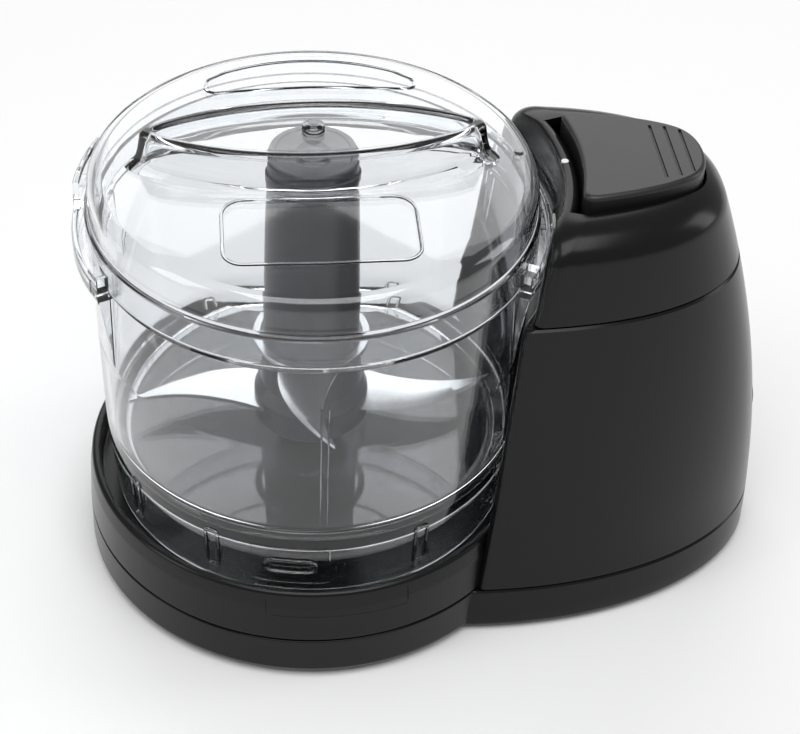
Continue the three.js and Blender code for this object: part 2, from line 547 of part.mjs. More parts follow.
// ---------------------------------------------------------------- blade
const HUB_TOP = 121;
function bladeHub() {
  const body = turned([[0, BOWL_FLOOR + 1.2], [15.6, BOWL_FLOOR + 1.2], [15.4, 50], [13.6, 54], [12.2, 100],
    [11.8, HUB_TOP - 6], [0, HUB_TOP - 6]], 0, 0, 24);
  return cut(body, drum(9.8, BOWL_FLOOR, 68, 0, 0, 40, 8.7), drum(SHAFT_R + 0.7, 60, SHAFT_TOP + 1, 0, 0, 6),
    block(-17, 17, -17, 17, 45.8, 47.6).intersect(ringOf(12, 20, 45, 49)));
}
add('blade_hub', bladeHub(), 'hub');
add('hub_cap', turned([[0, HUB_TOP - 5.7], [11.9, HUB_TOP - 5.7], [11.9, HUB_TOP - 1.4], [11.3, HUB_TOP - 0.8],
  [11.3, HUB_TOP + 2.2], [10.7, HUB_TOP + 2.8], [0, HUB_TOP + 2.8]], 0, 0, 24), 'hub');

// One curved wing of the S blade, drawn with its root on the hub.
function wing(reach, z0, z1) {
  const shape = new THREE.Shape();
  shape.moveTo(13, -9);
  shape.quadraticCurveTo(reach * 0.6, -13, reach, 3);
  shape.quadraticCurveTo(reach * 0.66, -3, 12.6, 8.4);
  shape.quadraticCurveTo(12.2, 0, 13, -9);
  return plate(shape, z0, z1, 8);
}
function blade(reach, z) {
  const ring = ringOf(12.4, 15, z, z + 1.2, 0, 0, 24);
  const pair = wing(reach, z, z + 1.2);
  return join(ring, pair, pair.rotate([0, 0, 180]));
}
add('lower_blade', blade(50, 46.1), 'steel');
add('upper_blade', blade(46, 66).rotate([0, 0, 90]).subtract(drum(14.2, 60, 72, 0, 0, 24))
  .add(ringOf(13.7, 15.6, 66, 67.2, 0, 0, 24)), 'steel');

model.position.set(-(TOWER_END - RING_R) / 2, 0, STAND);
const assembly = new THREE.Group();
assembly.add(model);
assembly.updateMatrixWorld(true);

export default assembly;
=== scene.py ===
"""Small food processor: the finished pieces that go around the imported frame.

Shapes are worked out in millimetres about the bowl's axis, with z = 0 just below the underside of
the bottom cover, and place() puts them in the frame's metres.
"""
import json
import math

import bmesh
import bpy
import numpy as np
from mathutils import Matrix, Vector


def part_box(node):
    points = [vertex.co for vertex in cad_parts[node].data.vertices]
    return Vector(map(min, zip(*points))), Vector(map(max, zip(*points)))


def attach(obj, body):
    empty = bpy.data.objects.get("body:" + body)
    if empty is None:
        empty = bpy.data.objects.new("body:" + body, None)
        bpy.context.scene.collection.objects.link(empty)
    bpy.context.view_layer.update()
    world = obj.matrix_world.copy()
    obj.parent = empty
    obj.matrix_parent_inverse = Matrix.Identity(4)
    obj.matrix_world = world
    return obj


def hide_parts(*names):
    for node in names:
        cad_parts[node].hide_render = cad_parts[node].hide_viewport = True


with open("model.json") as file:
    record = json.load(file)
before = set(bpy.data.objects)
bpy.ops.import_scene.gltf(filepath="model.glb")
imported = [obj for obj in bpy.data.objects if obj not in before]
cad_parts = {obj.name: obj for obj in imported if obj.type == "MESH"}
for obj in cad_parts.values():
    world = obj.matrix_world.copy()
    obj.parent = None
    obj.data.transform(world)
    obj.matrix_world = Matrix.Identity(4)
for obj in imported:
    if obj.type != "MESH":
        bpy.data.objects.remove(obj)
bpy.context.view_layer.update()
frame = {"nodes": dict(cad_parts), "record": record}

# ------------------------------------------------------------ sizes, from the frame
MM = 1000.0
SHAFT_LOW, SHAFT_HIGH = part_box("drive_shaft")
AXIS_X = (SHAFT_LOW.x + SHAFT_HIGH.x) / 2
FLOOR = 0.3
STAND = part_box("bottom_cover")[0].z - FLOOR / MM


def span(node):
    """Lowest and highest corner of a CAD node, in millimetres about the bowl's axis."""
    low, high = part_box(node)
    shift = np.array([AXIS_X, 0, STAND])
    return (np.array(low) - shift) * MM, (np.array(high) - shift) * MM


HOUSING = span("main_housing")
CAP = span("tower_cap")
BUTTON = span("pulse_button")
BOWL = span("bowl")
LID = span("lid")
HUB = span("blade_hub")
HUB_CAP = span("hub_cap")
GLAND = span("cord_gland")
GLAND_Z = (GLAND[0][2] + GLAND[1][2]) / 2

# base: heights of the two seams, the ring, the seat under the bowl, and the arc that clears the bowl
SEAM = 13.0
CAP_SEAM = 94.0
CAP_TOP = CAP[1][2]
RING_R = HOUSING[1][1]
RING_TOP = 29.0
SEAT_R = 58.2
SEAT_Z = 22.5
NEST_R = 60.6
CAP_NEST_R = 62.4
WALL = 2.3
GAP = 0.35

# the tower's oval: where its middle and its rear end lie, its half width, and how both shrink upwards
OVAL_X = 45.0
OVAL_END = 124.8
OVAL_BOW = 0.0016
OVAL_HALF = 47.8
OVAL_LEAN = 0.118

# bowl, lid, button and blade column
BOWL_R = BOWL[1][1]
BOWL_WALL = 1.8
BOWL_BASE = BOWL[0][2]
BOWL_RIM = BOWL[1][2]
BOWL_FLOOR = 40.0
LID_R = LID[1][1]
LID_BASE = 101.5
LID_SHOULDER = 120.5
LID_TOP = LID[1][2] - 1.5
LID_WALL = 1.6
BUTTON_TOP = BUTTON[1][2]
BUTTON_ARC = 67.4
BUTTON_HALF = 20.4
HUB_TOP = HUB_CAP[1][2]
BLADE_THICK = 1.2


# ------------------------------------------------------------ mesh tools
def place(points):
    """Millimetres about the bowl's axis to the frame's metres."""
    return np.asarray(points, float) / MM + np.array([AXIS_X, 0, STAND])


def skin(loops, closed=False):
    """Shell over a grid of rings: each row is a closed ring of points. The first and last rings are
    closed by a fan to their mean point, or joined to each other when closed is True."""
    rows, cols = loops.shape[:2]
    index = np.arange(rows * cols).reshape(rows, cols)
    above = np.roll(index, -1, axis=0)
    if not closed:
        index, above = index[:-1], above[:-1]
    beside, diagonal = np.roll(index, -1, axis=1), np.roll(above, -1, axis=1)
    quads = np.stack([index, beside, diagonal, above], axis=-1).reshape(-1, 4)
    points = loops.reshape(-1, 3)
    faces = quads.tolist()
    if not closed:
        first = np.arange(cols)
        last = first + (rows - 1) * cols
        points = np.concatenate([points, loops[:1].mean(axis=1), loops[-1:].mean(axis=1)])
        start = np.stack([np.full(cols, rows * cols), np.roll(first, -1), first], axis=-1)
        end = np.stack([np.full(cols, rows * cols + 1), last, np.roll(last, -1)], axis=-1)
        faces += start.tolist() + end.tolist()
    return points, faces


def build(name, *shells):
    """Object of one or more shells, placed in the frame, with its faces turned outwards."""
    points, faces, count = [], [], 0
    for shell_points, shell_faces in shells:
        points.append(place(shell_points))
        faces += [[i + count for i in face] for face in shell_faces]
        count += len(shell_points)
    mesh = bpy.data.meshes.new(name)
    mesh.from_pydata(np.concatenate(points).tolist(), [], faces)
    work = bmesh.new()
    work.from_mesh(mesh)
    bmesh.ops.remove_doubles(work, verts=work.verts, dist=1e-7)
    bmesh.ops.recalc_face_normals(work, faces=work.faces)
    if work.calc_volume(signed=True) < 0:
        bmesh.ops.reverse_faces(work, faces=work.faces)
    work.to_mesh(mesh)
    work.free()
    piece = bpy.data.objects.new(name, mesh)
    bpy.context.scene.collection.objects.link(piece)
    return piece


def settle(piece):
    """Turns a piece's live modifiers into its mesh."""
    graph = bpy.context.evaluated_depsgraph_get()
    mesh = bpy.data.meshes.new_from_object(piece.evaluated_get(graph))
    piece.modifiers.clear()
    old, piece.data = piece.data, mesh
    bpy.data.meshes.remove(old)
    return piece


def carve(piece, operation, *tools, solver="MANIFOLD"):
    """Joins or cuts a piece with other pieces, which are used up."""
    for tool in tools:
        step = piece.modifiers.new("step", "BOOLEAN")
        step.operation = operation
        step.solver = solver
        step.object = tool
    settle(piece)
    for tool in tools:
        bpy.data.objects.remove(tool)
    return piece


def smooth(piece, angle=32):
    """Smooth shading up to an angle, with flat areas kept flat."""
    mesh = piece.data
    mesh.polygons.foreach_set("use_smooth", np.ones(len(mesh.polygons), bool))
    mesh.set_sharp_from_angle(angle=math.radians(angle))
    weigh = piece.modifiers.new("flat areas", "WEIGHTED_NORMAL")
    weigh.keep_sharp = True
    return piece


def level_flats(piece):
    """Merges faces that share a plane, so that large flats shade evenly up to their edges."""
    work = bmesh.new()
    work.from_mesh(piece.data)
    bmesh.ops.dissolve_limit(work, angle_limit=0.002, verts=work.verts, edges=work.edges)
    work.to_mesh(piece.data)
    work.free()


def rounded(corners, steps=5):
    """Outline through (a, b, radius) corners: each corner with a radius is replaced by an arc that
    touches both of its sides. The ends stay where they are."""
    out = []
    last = len(corners) - 1
    for i, (a, b, radius) in enumerate(corners):
        here = np.array([a, b], float)
        if i in (0, last) or radius <= 0:
            out.append(here)
            continue
        before = np.array(corners[i - 1][:2], float) - here
        after = np.array(corners[i + 1][:2], float) - here
        long_before, long_after = np.linalg.norm(before), np.linalg.norm(after)
        before, after = before / long_before, after / long_after
        half = math.acos(float(np.clip(before @ after, -1, 1))) / 2
        reach = min(radius / math.tan(half), 0.49 * long_before, 0.49 * long_after)
        true_radius = reach * math.tan(half)
        middle = before + after
        middle /= np.linalg.norm(middle)
        centre = here + middle * true_radius / math.sin(half)
        start, end = here + before * reach - centre, here + after * reach - centre
        turn = math.acos(float(np.clip(start @ end / true_radius ** 2, -1, 1)))
        for part in np.linspace(0, 1, steps + 1):
            share = (math.sin((1 - part) * turn) * start + math.sin(part * turn) * end) / math.sin(turn)
            out.append(centre + share)
    return np.array(out)


def lathe(corners, cols=160, x=0.0, y=0.0, steps=5, flute=None):
    """Solid of revolution: radius and height follow the rounded outline, turned about a vertical
    line. flute(angle, z) may scale the radius round the turn."""
    outline = rounded(corners, steps)
    turn = np.linspace(0, 2 * np.pi, cols, endpoint=False)
    radius = np.repeat(outline[:, :1], cols, axis=1)
    height = np.repeat(outline[:, 1:], cols, axis=1)
    if flute is not None:
        radius = radius * flute(turn[None, :], height)
    loops = np.stack([x + radius * np.cos(turn), y + radius * np.sin(turn), height], axis=-1)
    if outline[0, 0] < 1e-6:
        return skin(loops[1:-1])
    return skin(loops, closed=True)


def bead(path, radius, cols=8, closed=True):
    """Round wire along a path: a circle is carried square to the path's direction."""
    path = np.asarray(path, float)
    if closed:
        ahead = np.roll(path, -1, axis=0) - np.roll(path, 1, axis=0)
    else:
        ahead = np.gradient(path, axis=0)
    ahead /= np.linalg.norm(ahead, axis=1, keepdims=True)
    lift = np.tile([0.0, 0.0, 1.0], (len(path), 1))
    steep = np.abs(ahead[:, 2]) > 0.9
    lift[steep] = path[steep] * [1, 1, 0] / np.linalg.norm(path[steep] * [1, 1, 0], axis=1, keepdims=True)
    side = np.cross(ahead, lift)
    side /= np.linalg.norm(side, axis=1, keepdims=True)
    up = np.cross(side, ahead)
    turn = np.linspace(0, 2 * np.pi, cols, endpoint=False)[None, :, None]
    loops = path[:, None] + radius * (np.cos(turn) * side[:, None] + np.sin(turn) * up[:, None])
    return skin(loops, closed=closed)


def block(low, high):
    """Plain box shell, used as a cutter or as a web inside a moulding."""
    (x0, y0, z0), (x1, y1, z1) = low, high
    ring = np.array([[x0, y0], [x1, y0], [x1, y1], [x0, y1]], float)
    points = np.concatenate([np.column_stack([ring, np.full(4, z)]) for z in (z0, z1)])
    sides = [[i, (i + 1) % 4, (i + 1) % 4 + 4, i + 4] for i in range(4)]
    return points, [[3, 2, 1, 0], [4, 5, 6, 7]] + sides


def disc(radius, low, high, cols, x=0.0, y=0.0):
    """Plain cylinder shell with sharp edges, used as a cutter."""
    return lathe([(0, low, 0), (radius, low, 0), (radius, high, 0), (0, high, 0)], cols, x, y)


def rolled(rise):
    """Share by which a rounded edge is drawn in: one less the root of one less the rise squared."""
    return 1 - np.sqrt(np.maximum(0, 1 - np.clip(rise, 0, 1) ** 2))


def dense(outline, step):
    """Points along a closed outline, with each side cut into pieces of about the given length."""
    return np.concatenate([
        a + (b - a) * np.linspace(0, 1, max(1, int(np.linalg.norm(b - a) / step)), endpoint=False)[:, None]
        for a, b in zip(outline, np.roll(outline, -1, axis=0))])


def sector(r_in, r_out, z0, z1, middle, spread, edge=0.5, cols=60):
    """Curved bar: a rounded rectangle in radius and height, carried round part of a turn."""
    outline = rounded([(r_in, (z0 + z1) / 2, 0), (r_in, z1, edge), (r_out, z1, edge), (r_out, z0, edge),
                       (r_in, z0, edge), (r_in, (z0 + z1) / 2, 0)], 4)[:-1]
    turn = np.radians(np.linspace(middle - spread / 2, middle + spread / 2, cols))[:, None]
    radius, height = outline[None, :, 0], np.repeat(outline[None, :, 1], cols, axis=0)
    return skin(np.stack([radius * np.cos(turn), radius * np.sin(turn), height], axis=-1))


# ------------------------------------------------------------ the base's two outlines
def oval(z, draw, turn):
    """Point on the tower's oval: a superellipse whose length shrinks with height squared and whose
    half width shrinks evenly with height, drawn in by a margin."""
    z, draw = np.asarray(z, float)[:, None], np.asarray(draw, float)[:, None]
    power = 2 / (2 + 0.4 * np.maximum(0, z - 20) / 90)
    length = OVAL_END - OVAL_BOW * z ** 2 - OVAL_X - draw
    half = OVAL_HALF - OVAL_LEAN * z - draw
    x = OVAL_X + length * np.sign(np.cos(turn)) * np.abs(np.cos(turn)) ** power
    y = half * np.sign(np.sin(turn)) * np.abs(np.sin(turn)) ** power
    return np.stack([x, y], axis=-1)


def tower_loops(z, draw, nest, corner, side=64, bend=10, inner=48):
    """Rings of the tower: the oval from its rear end to the nest, a rounded corner that touches the
    oval and the nest circle, the nest arc, and the same again mirrored. The corner's centre lies
    where the oval drawn in by the corner radius crosses the nest circle grown by it."""
    z, draw, nest, corner = (np.broadcast_to(np.asarray(v, float), np.shape(z)).copy()
                             for v in (z, draw, nest, corner))
    low, high = np.zeros(len(z)), np.full(len(z), np.pi)
    for _ in range(40):
        middle = (low + high) / 2
        reach = np.linalg.norm(oval(z, draw + corner, middle[:, None])[:, 0], axis=-1)
        outside = reach > nest + corner
        low, high = np.where(outside, middle, low), np.where(outside, high, middle)
    centre = oval(z, draw + corner, low[:, None])[:, 0]
    edge = oval(z, draw, low[:, None])[:, 0] - centre
    spans = np.linalg.norm(edge, axis=-1)
    start = np.arctan2(edge[:, 1], edge[:, 0])
    away = np.arctan2(centre[:, 1], centre[:, 0])
    end = np.where(away + np.pi < start, away + 3 * np.pi, away + np.pi)
    part = np.linspace(0, 1, bend + 2)[None, 1:]
    angle = start[:, None] + (end - start)[:, None] * part
    radius = spans[:, None] + (corner - spans)[:, None] * part
    turn_corner = centre[:, None] + radius[..., None] * np.stack([np.cos(angle), np.sin(angle)], axis=-1)
    turn_side = low[:, None] * np.linspace(0, 1, side)[None, :] ** 0.9
    sides = oval(z, draw, turn_side)
    nest_turn = away[:, None] * np.linspace(1, 0, inner)[None, 1:]
    nest_arc = nest[:, None, None] * np.stack([np.cos(nest_turn), np.sin(nest_turn)], axis=-1)
    half = np.concatenate([sides, turn_corner, nest_arc], axis=1)
    mirror = half[:, -2:0:-1] * [1, -1]
    plan = np.concatenate([half, mirror], axis=1)
    return np.concatenate([plan, np.repeat(z[:, None, None], plan.shape[1], axis=1)], axis=-1)


def oval_shell(z, draw, cols=160):
    """The whole oval as a closed drum, used for the parts under the bowl's ring."""
    turn = np.linspace(0, 2 * np.pi, cols, endpoint=False)[None, :]
    plan = oval(z, draw, turn)
    rise = np.repeat(np.asarray(z, float)[:, None, None], cols, axis=1)
    return skin(np.concatenate([plan, rise], axis=-1))


def post(name, radius, low, high, x=0.0, y=0.0, cols=40):
    """Upright round post or, as a cutter, an upright hole."""
    outline = [(0, low, 0), (radius, low, 0.15), (radius, high, 0.15), (0, high, 0)]
    return build(name, lathe(outline, cols, x, y))


def posts(name, radius, low, high, places, cols=40):
    """The same post or hole at each of several places."""
    return [post(f"{name}_{i}", radius, low, high, x, y, cols) for i, (x, y) in enumerate(places)]


def level_pin(name, radius, low, high, along, x=0.0, y=0.0, z=0.0, cols=40):
    """Round pin lying along x or y: an upright one whose axes are swapped."""
    points, faces = lathe([(0, low, 0), (radius, low, 0.1), (radius, high, 0.1), (0, high, 0)], cols)
    order = (2, 0, 1) if along == "x" else (1, 2, 0)
    return build(name, (points[:, order] + [x, y, z], faces))


def lay_along_x(piece, x, turn):
    """Turns an upright piece about the y axis at its foot, and moves the foot to x at the gland's
    height."""
    piece.data.transform(Matrix.Translation(place([x, 0, GLAND_Z]).tolist())
                         @ Matrix.Rotation(turn, 4, "Y")
                         @ Matrix.Translation((-place([0, 0, 0])).tolist()))
    return piece


# ------------------------------------------------------------ base mouldings
RING_BOSSES = [(-30, 42), (-30, -42)]
TOWER_BOSSES = [(104, 24), (104, -24)]
SCREW_PLACES = RING_BOSSES + TOWER_BOSSES
CAP_POSTS = [(72, 27), (72, -27)]
MOTOR_POSTS = [(90, 27), (90, -27)]
HINGE_X = 71.0
HINGE_Z = 112.5
FOOT_PLACES = [(-38, 38), (-38, -38), (88, 31), (88, -31)]
VENT_PLACES = (70, 76, 82, 98, 104)
VENT_HALF = 15
BASE_SCREW_R = 1.9
CAP_SCREW_R = 1.6
PILOT_R = 1.2
PIN_HOLE_R = 1.35
PANEL_LOW = 21.5
PANEL_HIGH = 27.6


def ring_panel_line():
    """Fine wire that cuts a panel line into the ring's skin: down at one azimuth, along the panel's
    low edge, and up at the other azimuth, its radius shrinking evenly with height."""
    turn = np.radians(np.linspace(-104, -69, 60))
    rise = np.linspace(PANEL_LOW, PANEL_HIGH, 12)
    edge = np.interp(rise, [PANEL_LOW, PANEL_HIGH], [61.45, 60.8])
    along = np.column_stack([edge[0] * np.cos(turn), edge[0] * np.sin(turn), np.full(60, PANEL_LOW)])
    first, last = (np.column_stack([edge * math.cos(end), edge * math.sin(end), rise])
                   for end in turn[[0, -1]])
    return build("ring_panel_line",
                 bead(np.concatenate([first[:0:-1], along, last[1:]]), 0.22, 8, closed=False))


def make_main_housing():
    """Ring with its rolled lip, seat and shaft boss, joined to the tower, hollowed from below."""
    ring = build("main_housing_shell", lathe([
        (0, SEAM, 0), (RING_R - 0.5, SEAM, 0), (RING_R, SEAM + 0.5, 0.4), (RING_R - 0.5, 24, 8),
        (RING_R - 1.2, RING_TOP, 2.6), (SEAT_R, RING_TOP, 0.8), (SEAT_R, SEAT_Z, 0.8),
        (10.5, SEAT_Z, 0.8), (9, SEAT_Z + 1, 0.8), (8.2, SEAT_Z + 11, 0.6), (0, SEAT_Z + 11, 0)], cols=224))
    z = np.concatenate([[SEAM + 0.02, SEAM + 0.4], np.linspace(SEAM + 4, CAP_SEAM - 3, 20),
                        [CAP_SEAM - GAP / 2 - 0.5, CAP_SEAM - GAP / 2]])
    draw = np.zeros(len(z))
    draw[[0, -1]] = 0.5
    carve(ring, "UNION", build("tower_wall", skin(tower_loops(z, draw, NEST_R + draw, 2.0))))

    z = np.linspace(SEAM - 2, CAP_SEAM + 2, 12)
    room = build("tower_room", skin(tower_loops(z, np.full(12, WALL), NEST_R + WALL, 1.0, 40, 6, 30)))
    tray = build("pulley_room", lathe([(0, SEAM - 2, 0), (RING_R - WALL, SEAM - 2, 0),
                                       (RING_R - WALL, SEAT_Z - WALL, 1), (0, SEAT_Z - WALL, 0)], cols=120))
    carve(ring, "DIFFERENCE", room, tray, build("bush_bore", disc(6.4, 0, SEAT_Z + 13, 48)))
    carve(ring, "DIFFERENCE", ring_panel_line())
    carve(ring, "DIFFERENCE", lay_along_x(build("gland_hole", disc(5.4, 0, 20, 48)), 112, math.pi / 2))

    inner = posts("ring_post", 4, FLOOR + 6.4, SEAT_Z - 0.5, RING_BOSSES)
    inner += posts("tower_post", 4, FLOOR + 6.4, 34, TOWER_BOSSES)
    inner += [build(f"cap_lug_{i}", block((x - 4.5, min(0.83 * y, 1.26 * y), CAP_SEAM - 7),
                                          (x + 4.5, max(0.83 * y, 1.26 * y), CAP_SEAM - 4)))
              for i, (x, y) in enumerate(CAP_POSTS)]
    carve(ring, "UNION", *inner)
    holes = posts("base_hole", BASE_SCREW_R, 0, 19, SCREW_PLACES, 24)
    holes += posts("cap_hole", CAP_SCREW_R, CAP_SEAM - 9, CAP_SEAM, CAP_POSTS, 24)
    carve(ring, "DIFFERENCE", *holes)
    return smooth(ring)


def make_bottom_cover():
    """Shallow tray under the ring and the tower, with bearing post, foot recesses and vents."""
    lower = build("bottom_cover_shell", lathe([
        (0, FLOOR, 0), (RING_R - 1.2, FLOOR, 0), (RING_R, FLOOR + 2.0, 1.6), (RING_R, SEAM - GAP, 0.4),
        (0, SEAM - GAP, 0)], cols=224))
    z = np.array([FLOOR + 0.02, FLOOR + 0.3, FLOOR + 0.9, FLOOR + 1.8, 6, SEAM - GAP - 0.5,
                  SEAM - GAP - 0.02])
    draw = np.array([1.3, 0.8, 0.35, 0.05, 0, 0, 0.4])
    carve(lower, "UNION", build("tower_foot", oval_shell(z, draw)))

    inside = build("tray_room", lathe([(0, FLOOR + WALL, 0), (RING_R - WALL, FLOOR + WALL, 1),
                                       (RING_R - WALL, SEAM + 1, 0), (0, SEAM + 1, 0)], cols=120))
    z = np.array([FLOOR + WALL, SEAM + 1])
    carve(inside, "UNION", build("foot_room", oval_shell(z, np.array([WALL, WALL]), 120)))
    carve(lower, "DIFFERENCE", inside)

    inner = [post("bearing_post", 9, FLOOR + 1, 6.4, cols=64)]
    inner += posts("motor_post", 3.6, FLOOR + 1, 20.6, MOTOR_POSTS)
    inner += posts("screw_sleeve", 4.2, FLOOR + 1, FLOOR + 6, SCREW_PLACES)
    carve(lower, "UNION", *inner)
    holes = [post("bearing_hole", 5.9, FLOOR + 1.6, 8, cols=48)]
    holes += posts("motor_hole", PILOT_R, 11, 25, MOTOR_POSTS, 24)
    holes += posts("screw_hole", BASE_SCREW_R, FLOOR - 1, FLOOR + 7, SCREW_PLACES, 24)
    carve(lower, "DIFFERENCE", *holes)

    cutters = [build(f"foot_recess_{i}", lathe([(0, FLOOR - 1, 0), (5.8, FLOOR - 1, 0), (5.8, FLOOR + 1, 0.2),
                                                (0, FLOOR + 1, 0)], 48, x, y))
               for i, (x, y) in enumerate(FOOT_PLACES)]
    cutters += [build(f"screw_well_{i}", disc(3.4, FLOOR - 1, FLOOR + 2.6, 32, x, y))
                for i, (x, y) in enumerate(SCREW_PLACES)]
    for i, x in enumerate(VENT_PLACES):
        left, right = x - 1.2, x + 1.2
        slot = rounded([(x, -VENT_HALF, 0), (right, -VENT_HALF, 1.1), (right, VENT_HALF, 1.1),
                        (left, VENT_HALF, 1.1), (left, -VENT_HALF, 1.1), (x, -VENT_HALF, 0)])[:-1]
        rows = [np.column_stack([slot, np.full(len(slot), z)]) for z in (FLOOR - 1, FLOOR + WALL + 1)]
        cutters.append(build(f"vent_{i}", skin(np.array(rows))))
    carve(lower, "DIFFERENCE", *cutters)
    return smooth(lower)


# ------------------------------------------------------------ pulse button and tower cap
def bezier(points, count):
    """Cubic curve through four control points, left open at its far end."""
    t = np.linspace(0, 1, count, endpoint=False)[:, None]
    a, b, c, d = (np.array(p, float) for p in points)
    return (1 - t) ** 3 * a + 3 * (1 - t) ** 2 * t * b + 3 * (1 - t) * t ** 2 * c + t ** 3 * d


def button_outline(count=240, soften=3.2):
    """Button seen from above: an arc about the bowl's axis, two flowing sides and a round end, with
    its corners softened by a running mean along the edge. Returns points and outward normals."""
    spread = math.asin(BUTTON_HALF / BUTTON_ARC)
    turn = np.linspace(-spread, spread, 200, endpoint=False)
    arc = BUTTON_ARC * np.stack([np.cos(turn), np.sin(turn)], axis=-1)
    corner = (BUTTON_ARC * math.cos(spread), BUTTON_HALF)
    side = bezier([corner, (78, 18.6), (88, 15.6), (94.5, 11.6)], 200)
    end = bezier([(94.5, 11.6), (100.4, 8), (100.4, -8), (94.5, -11.6)], 200)
    back = (side * [1, -1])[::-1]
    line = np.concatenate([arc, side, end, back])
    fine = 1200
    for _ in range(2):
        step = np.linalg.norm(np.roll(line, -1, axis=0) - line, axis=1)
        along = np.concatenate([[0], np.cumsum(step)])
        even = np.linspace(0, along[-1], fine, endpoint=False)
        loop = np.concatenate([line, line[:1]])
        line = np.stack([np.interp(even, along, loop[:, k]) for k in range(2)], axis=-1)
        width = int(soften / (along[-1] / fine))
        line = sum(np.roll(line, k, axis=0) for k in range(-width, width + 1)) / (2 * width + 1)
    line = line[::fine // count]
    ahead = np.roll(line, -1, axis=0) - np.roll(line, 1, axis=0)
    ahead /= np.linalg.norm(ahead, axis=1, keepdims=True)
    return line, np.stack([-ahead[:, 1], ahead[:, 0]], axis=-1)


def outline_loops(margins, heights):
    """Rings that follow the button's outline, moved out by each margin at each height."""
    line, normal = button_outline()
    rows = [np.column_stack([line + normal * m, np.full(len(line), z)]) for m, z in zip(margins, heights)]
    return np.array(rows)


def make_pulse_button():
    """Button shell with a flat top, a rolled edge and three fine grip grooves."""
    edge = 1.3
    foot = CAP_TOP - 7.5
    waist = CAP_TOP - 4
    web = BUTTON_TOP - 1
    roll = np.linspace(0, np.pi / 2, 8)[1:]
    margins = np.concatenate([[0.0, 0.0, 0.0], -edge + edge * np.cos(roll), [-1.5]])
    heights = np.concatenate([[foot, waist, BUTTON_TOP - edge], BUTTON_TOP - edge + edge * np.sin(roll),
                              [BUTTON_TOP]])
    outer = outline_loops(margins, heights)
    inner = outline_loops(np.full(3, -1.8), [foot, waist, BUTTON_TOP - 1.9])
    body = build("pulse_button_shell", skin(np.concatenate([outer[::-1], inner])))

    fittings = [post("striker", 2, 106.6, web, 92), post("spring_pin", 1.6, BUTTON_TOP - 5, web, 82)]
    for i, y in enumerate((9, -9)):
        fittings.append(build(f"hinge_lug_{i}", block((HINGE_X - 2.6, y - 1.5, HINGE_Z),
                                                      (HINGE_X + 2.6, y + 1.5, web))))
        fittings.append(level_pin(f"hinge_eye_{i}", 2.6, y - 1.5, y + 1.5, "y", HINGE_X, 0, HINGE_Z))
    carve(body, "UNION", *fittings)
    carve(body, "DIFFERENCE", level_pin("hinge_hole", PIN_HOLE_R, -20, 20, "y", HINGE_X, 0, HINGE_Z))

    grooves = []
    for i, (x, half) in enumerate(((87.0, 11.7), (90.7, 11.1), (94.3, 9.4))):
        path = np.column_stack([np.full(24, x), np.linspace(-half, half, 24), np.full(24, BUTTON_TOP - 0.1)])
        grooves.append(build(f"grip_groove_{i}", bead(path, 0.42, 14, closed=False)))
    carve(body, "DIFFERENCE", *grooves, solver="EXACT")
    level_flats(body)
    return smooth(body, 40)


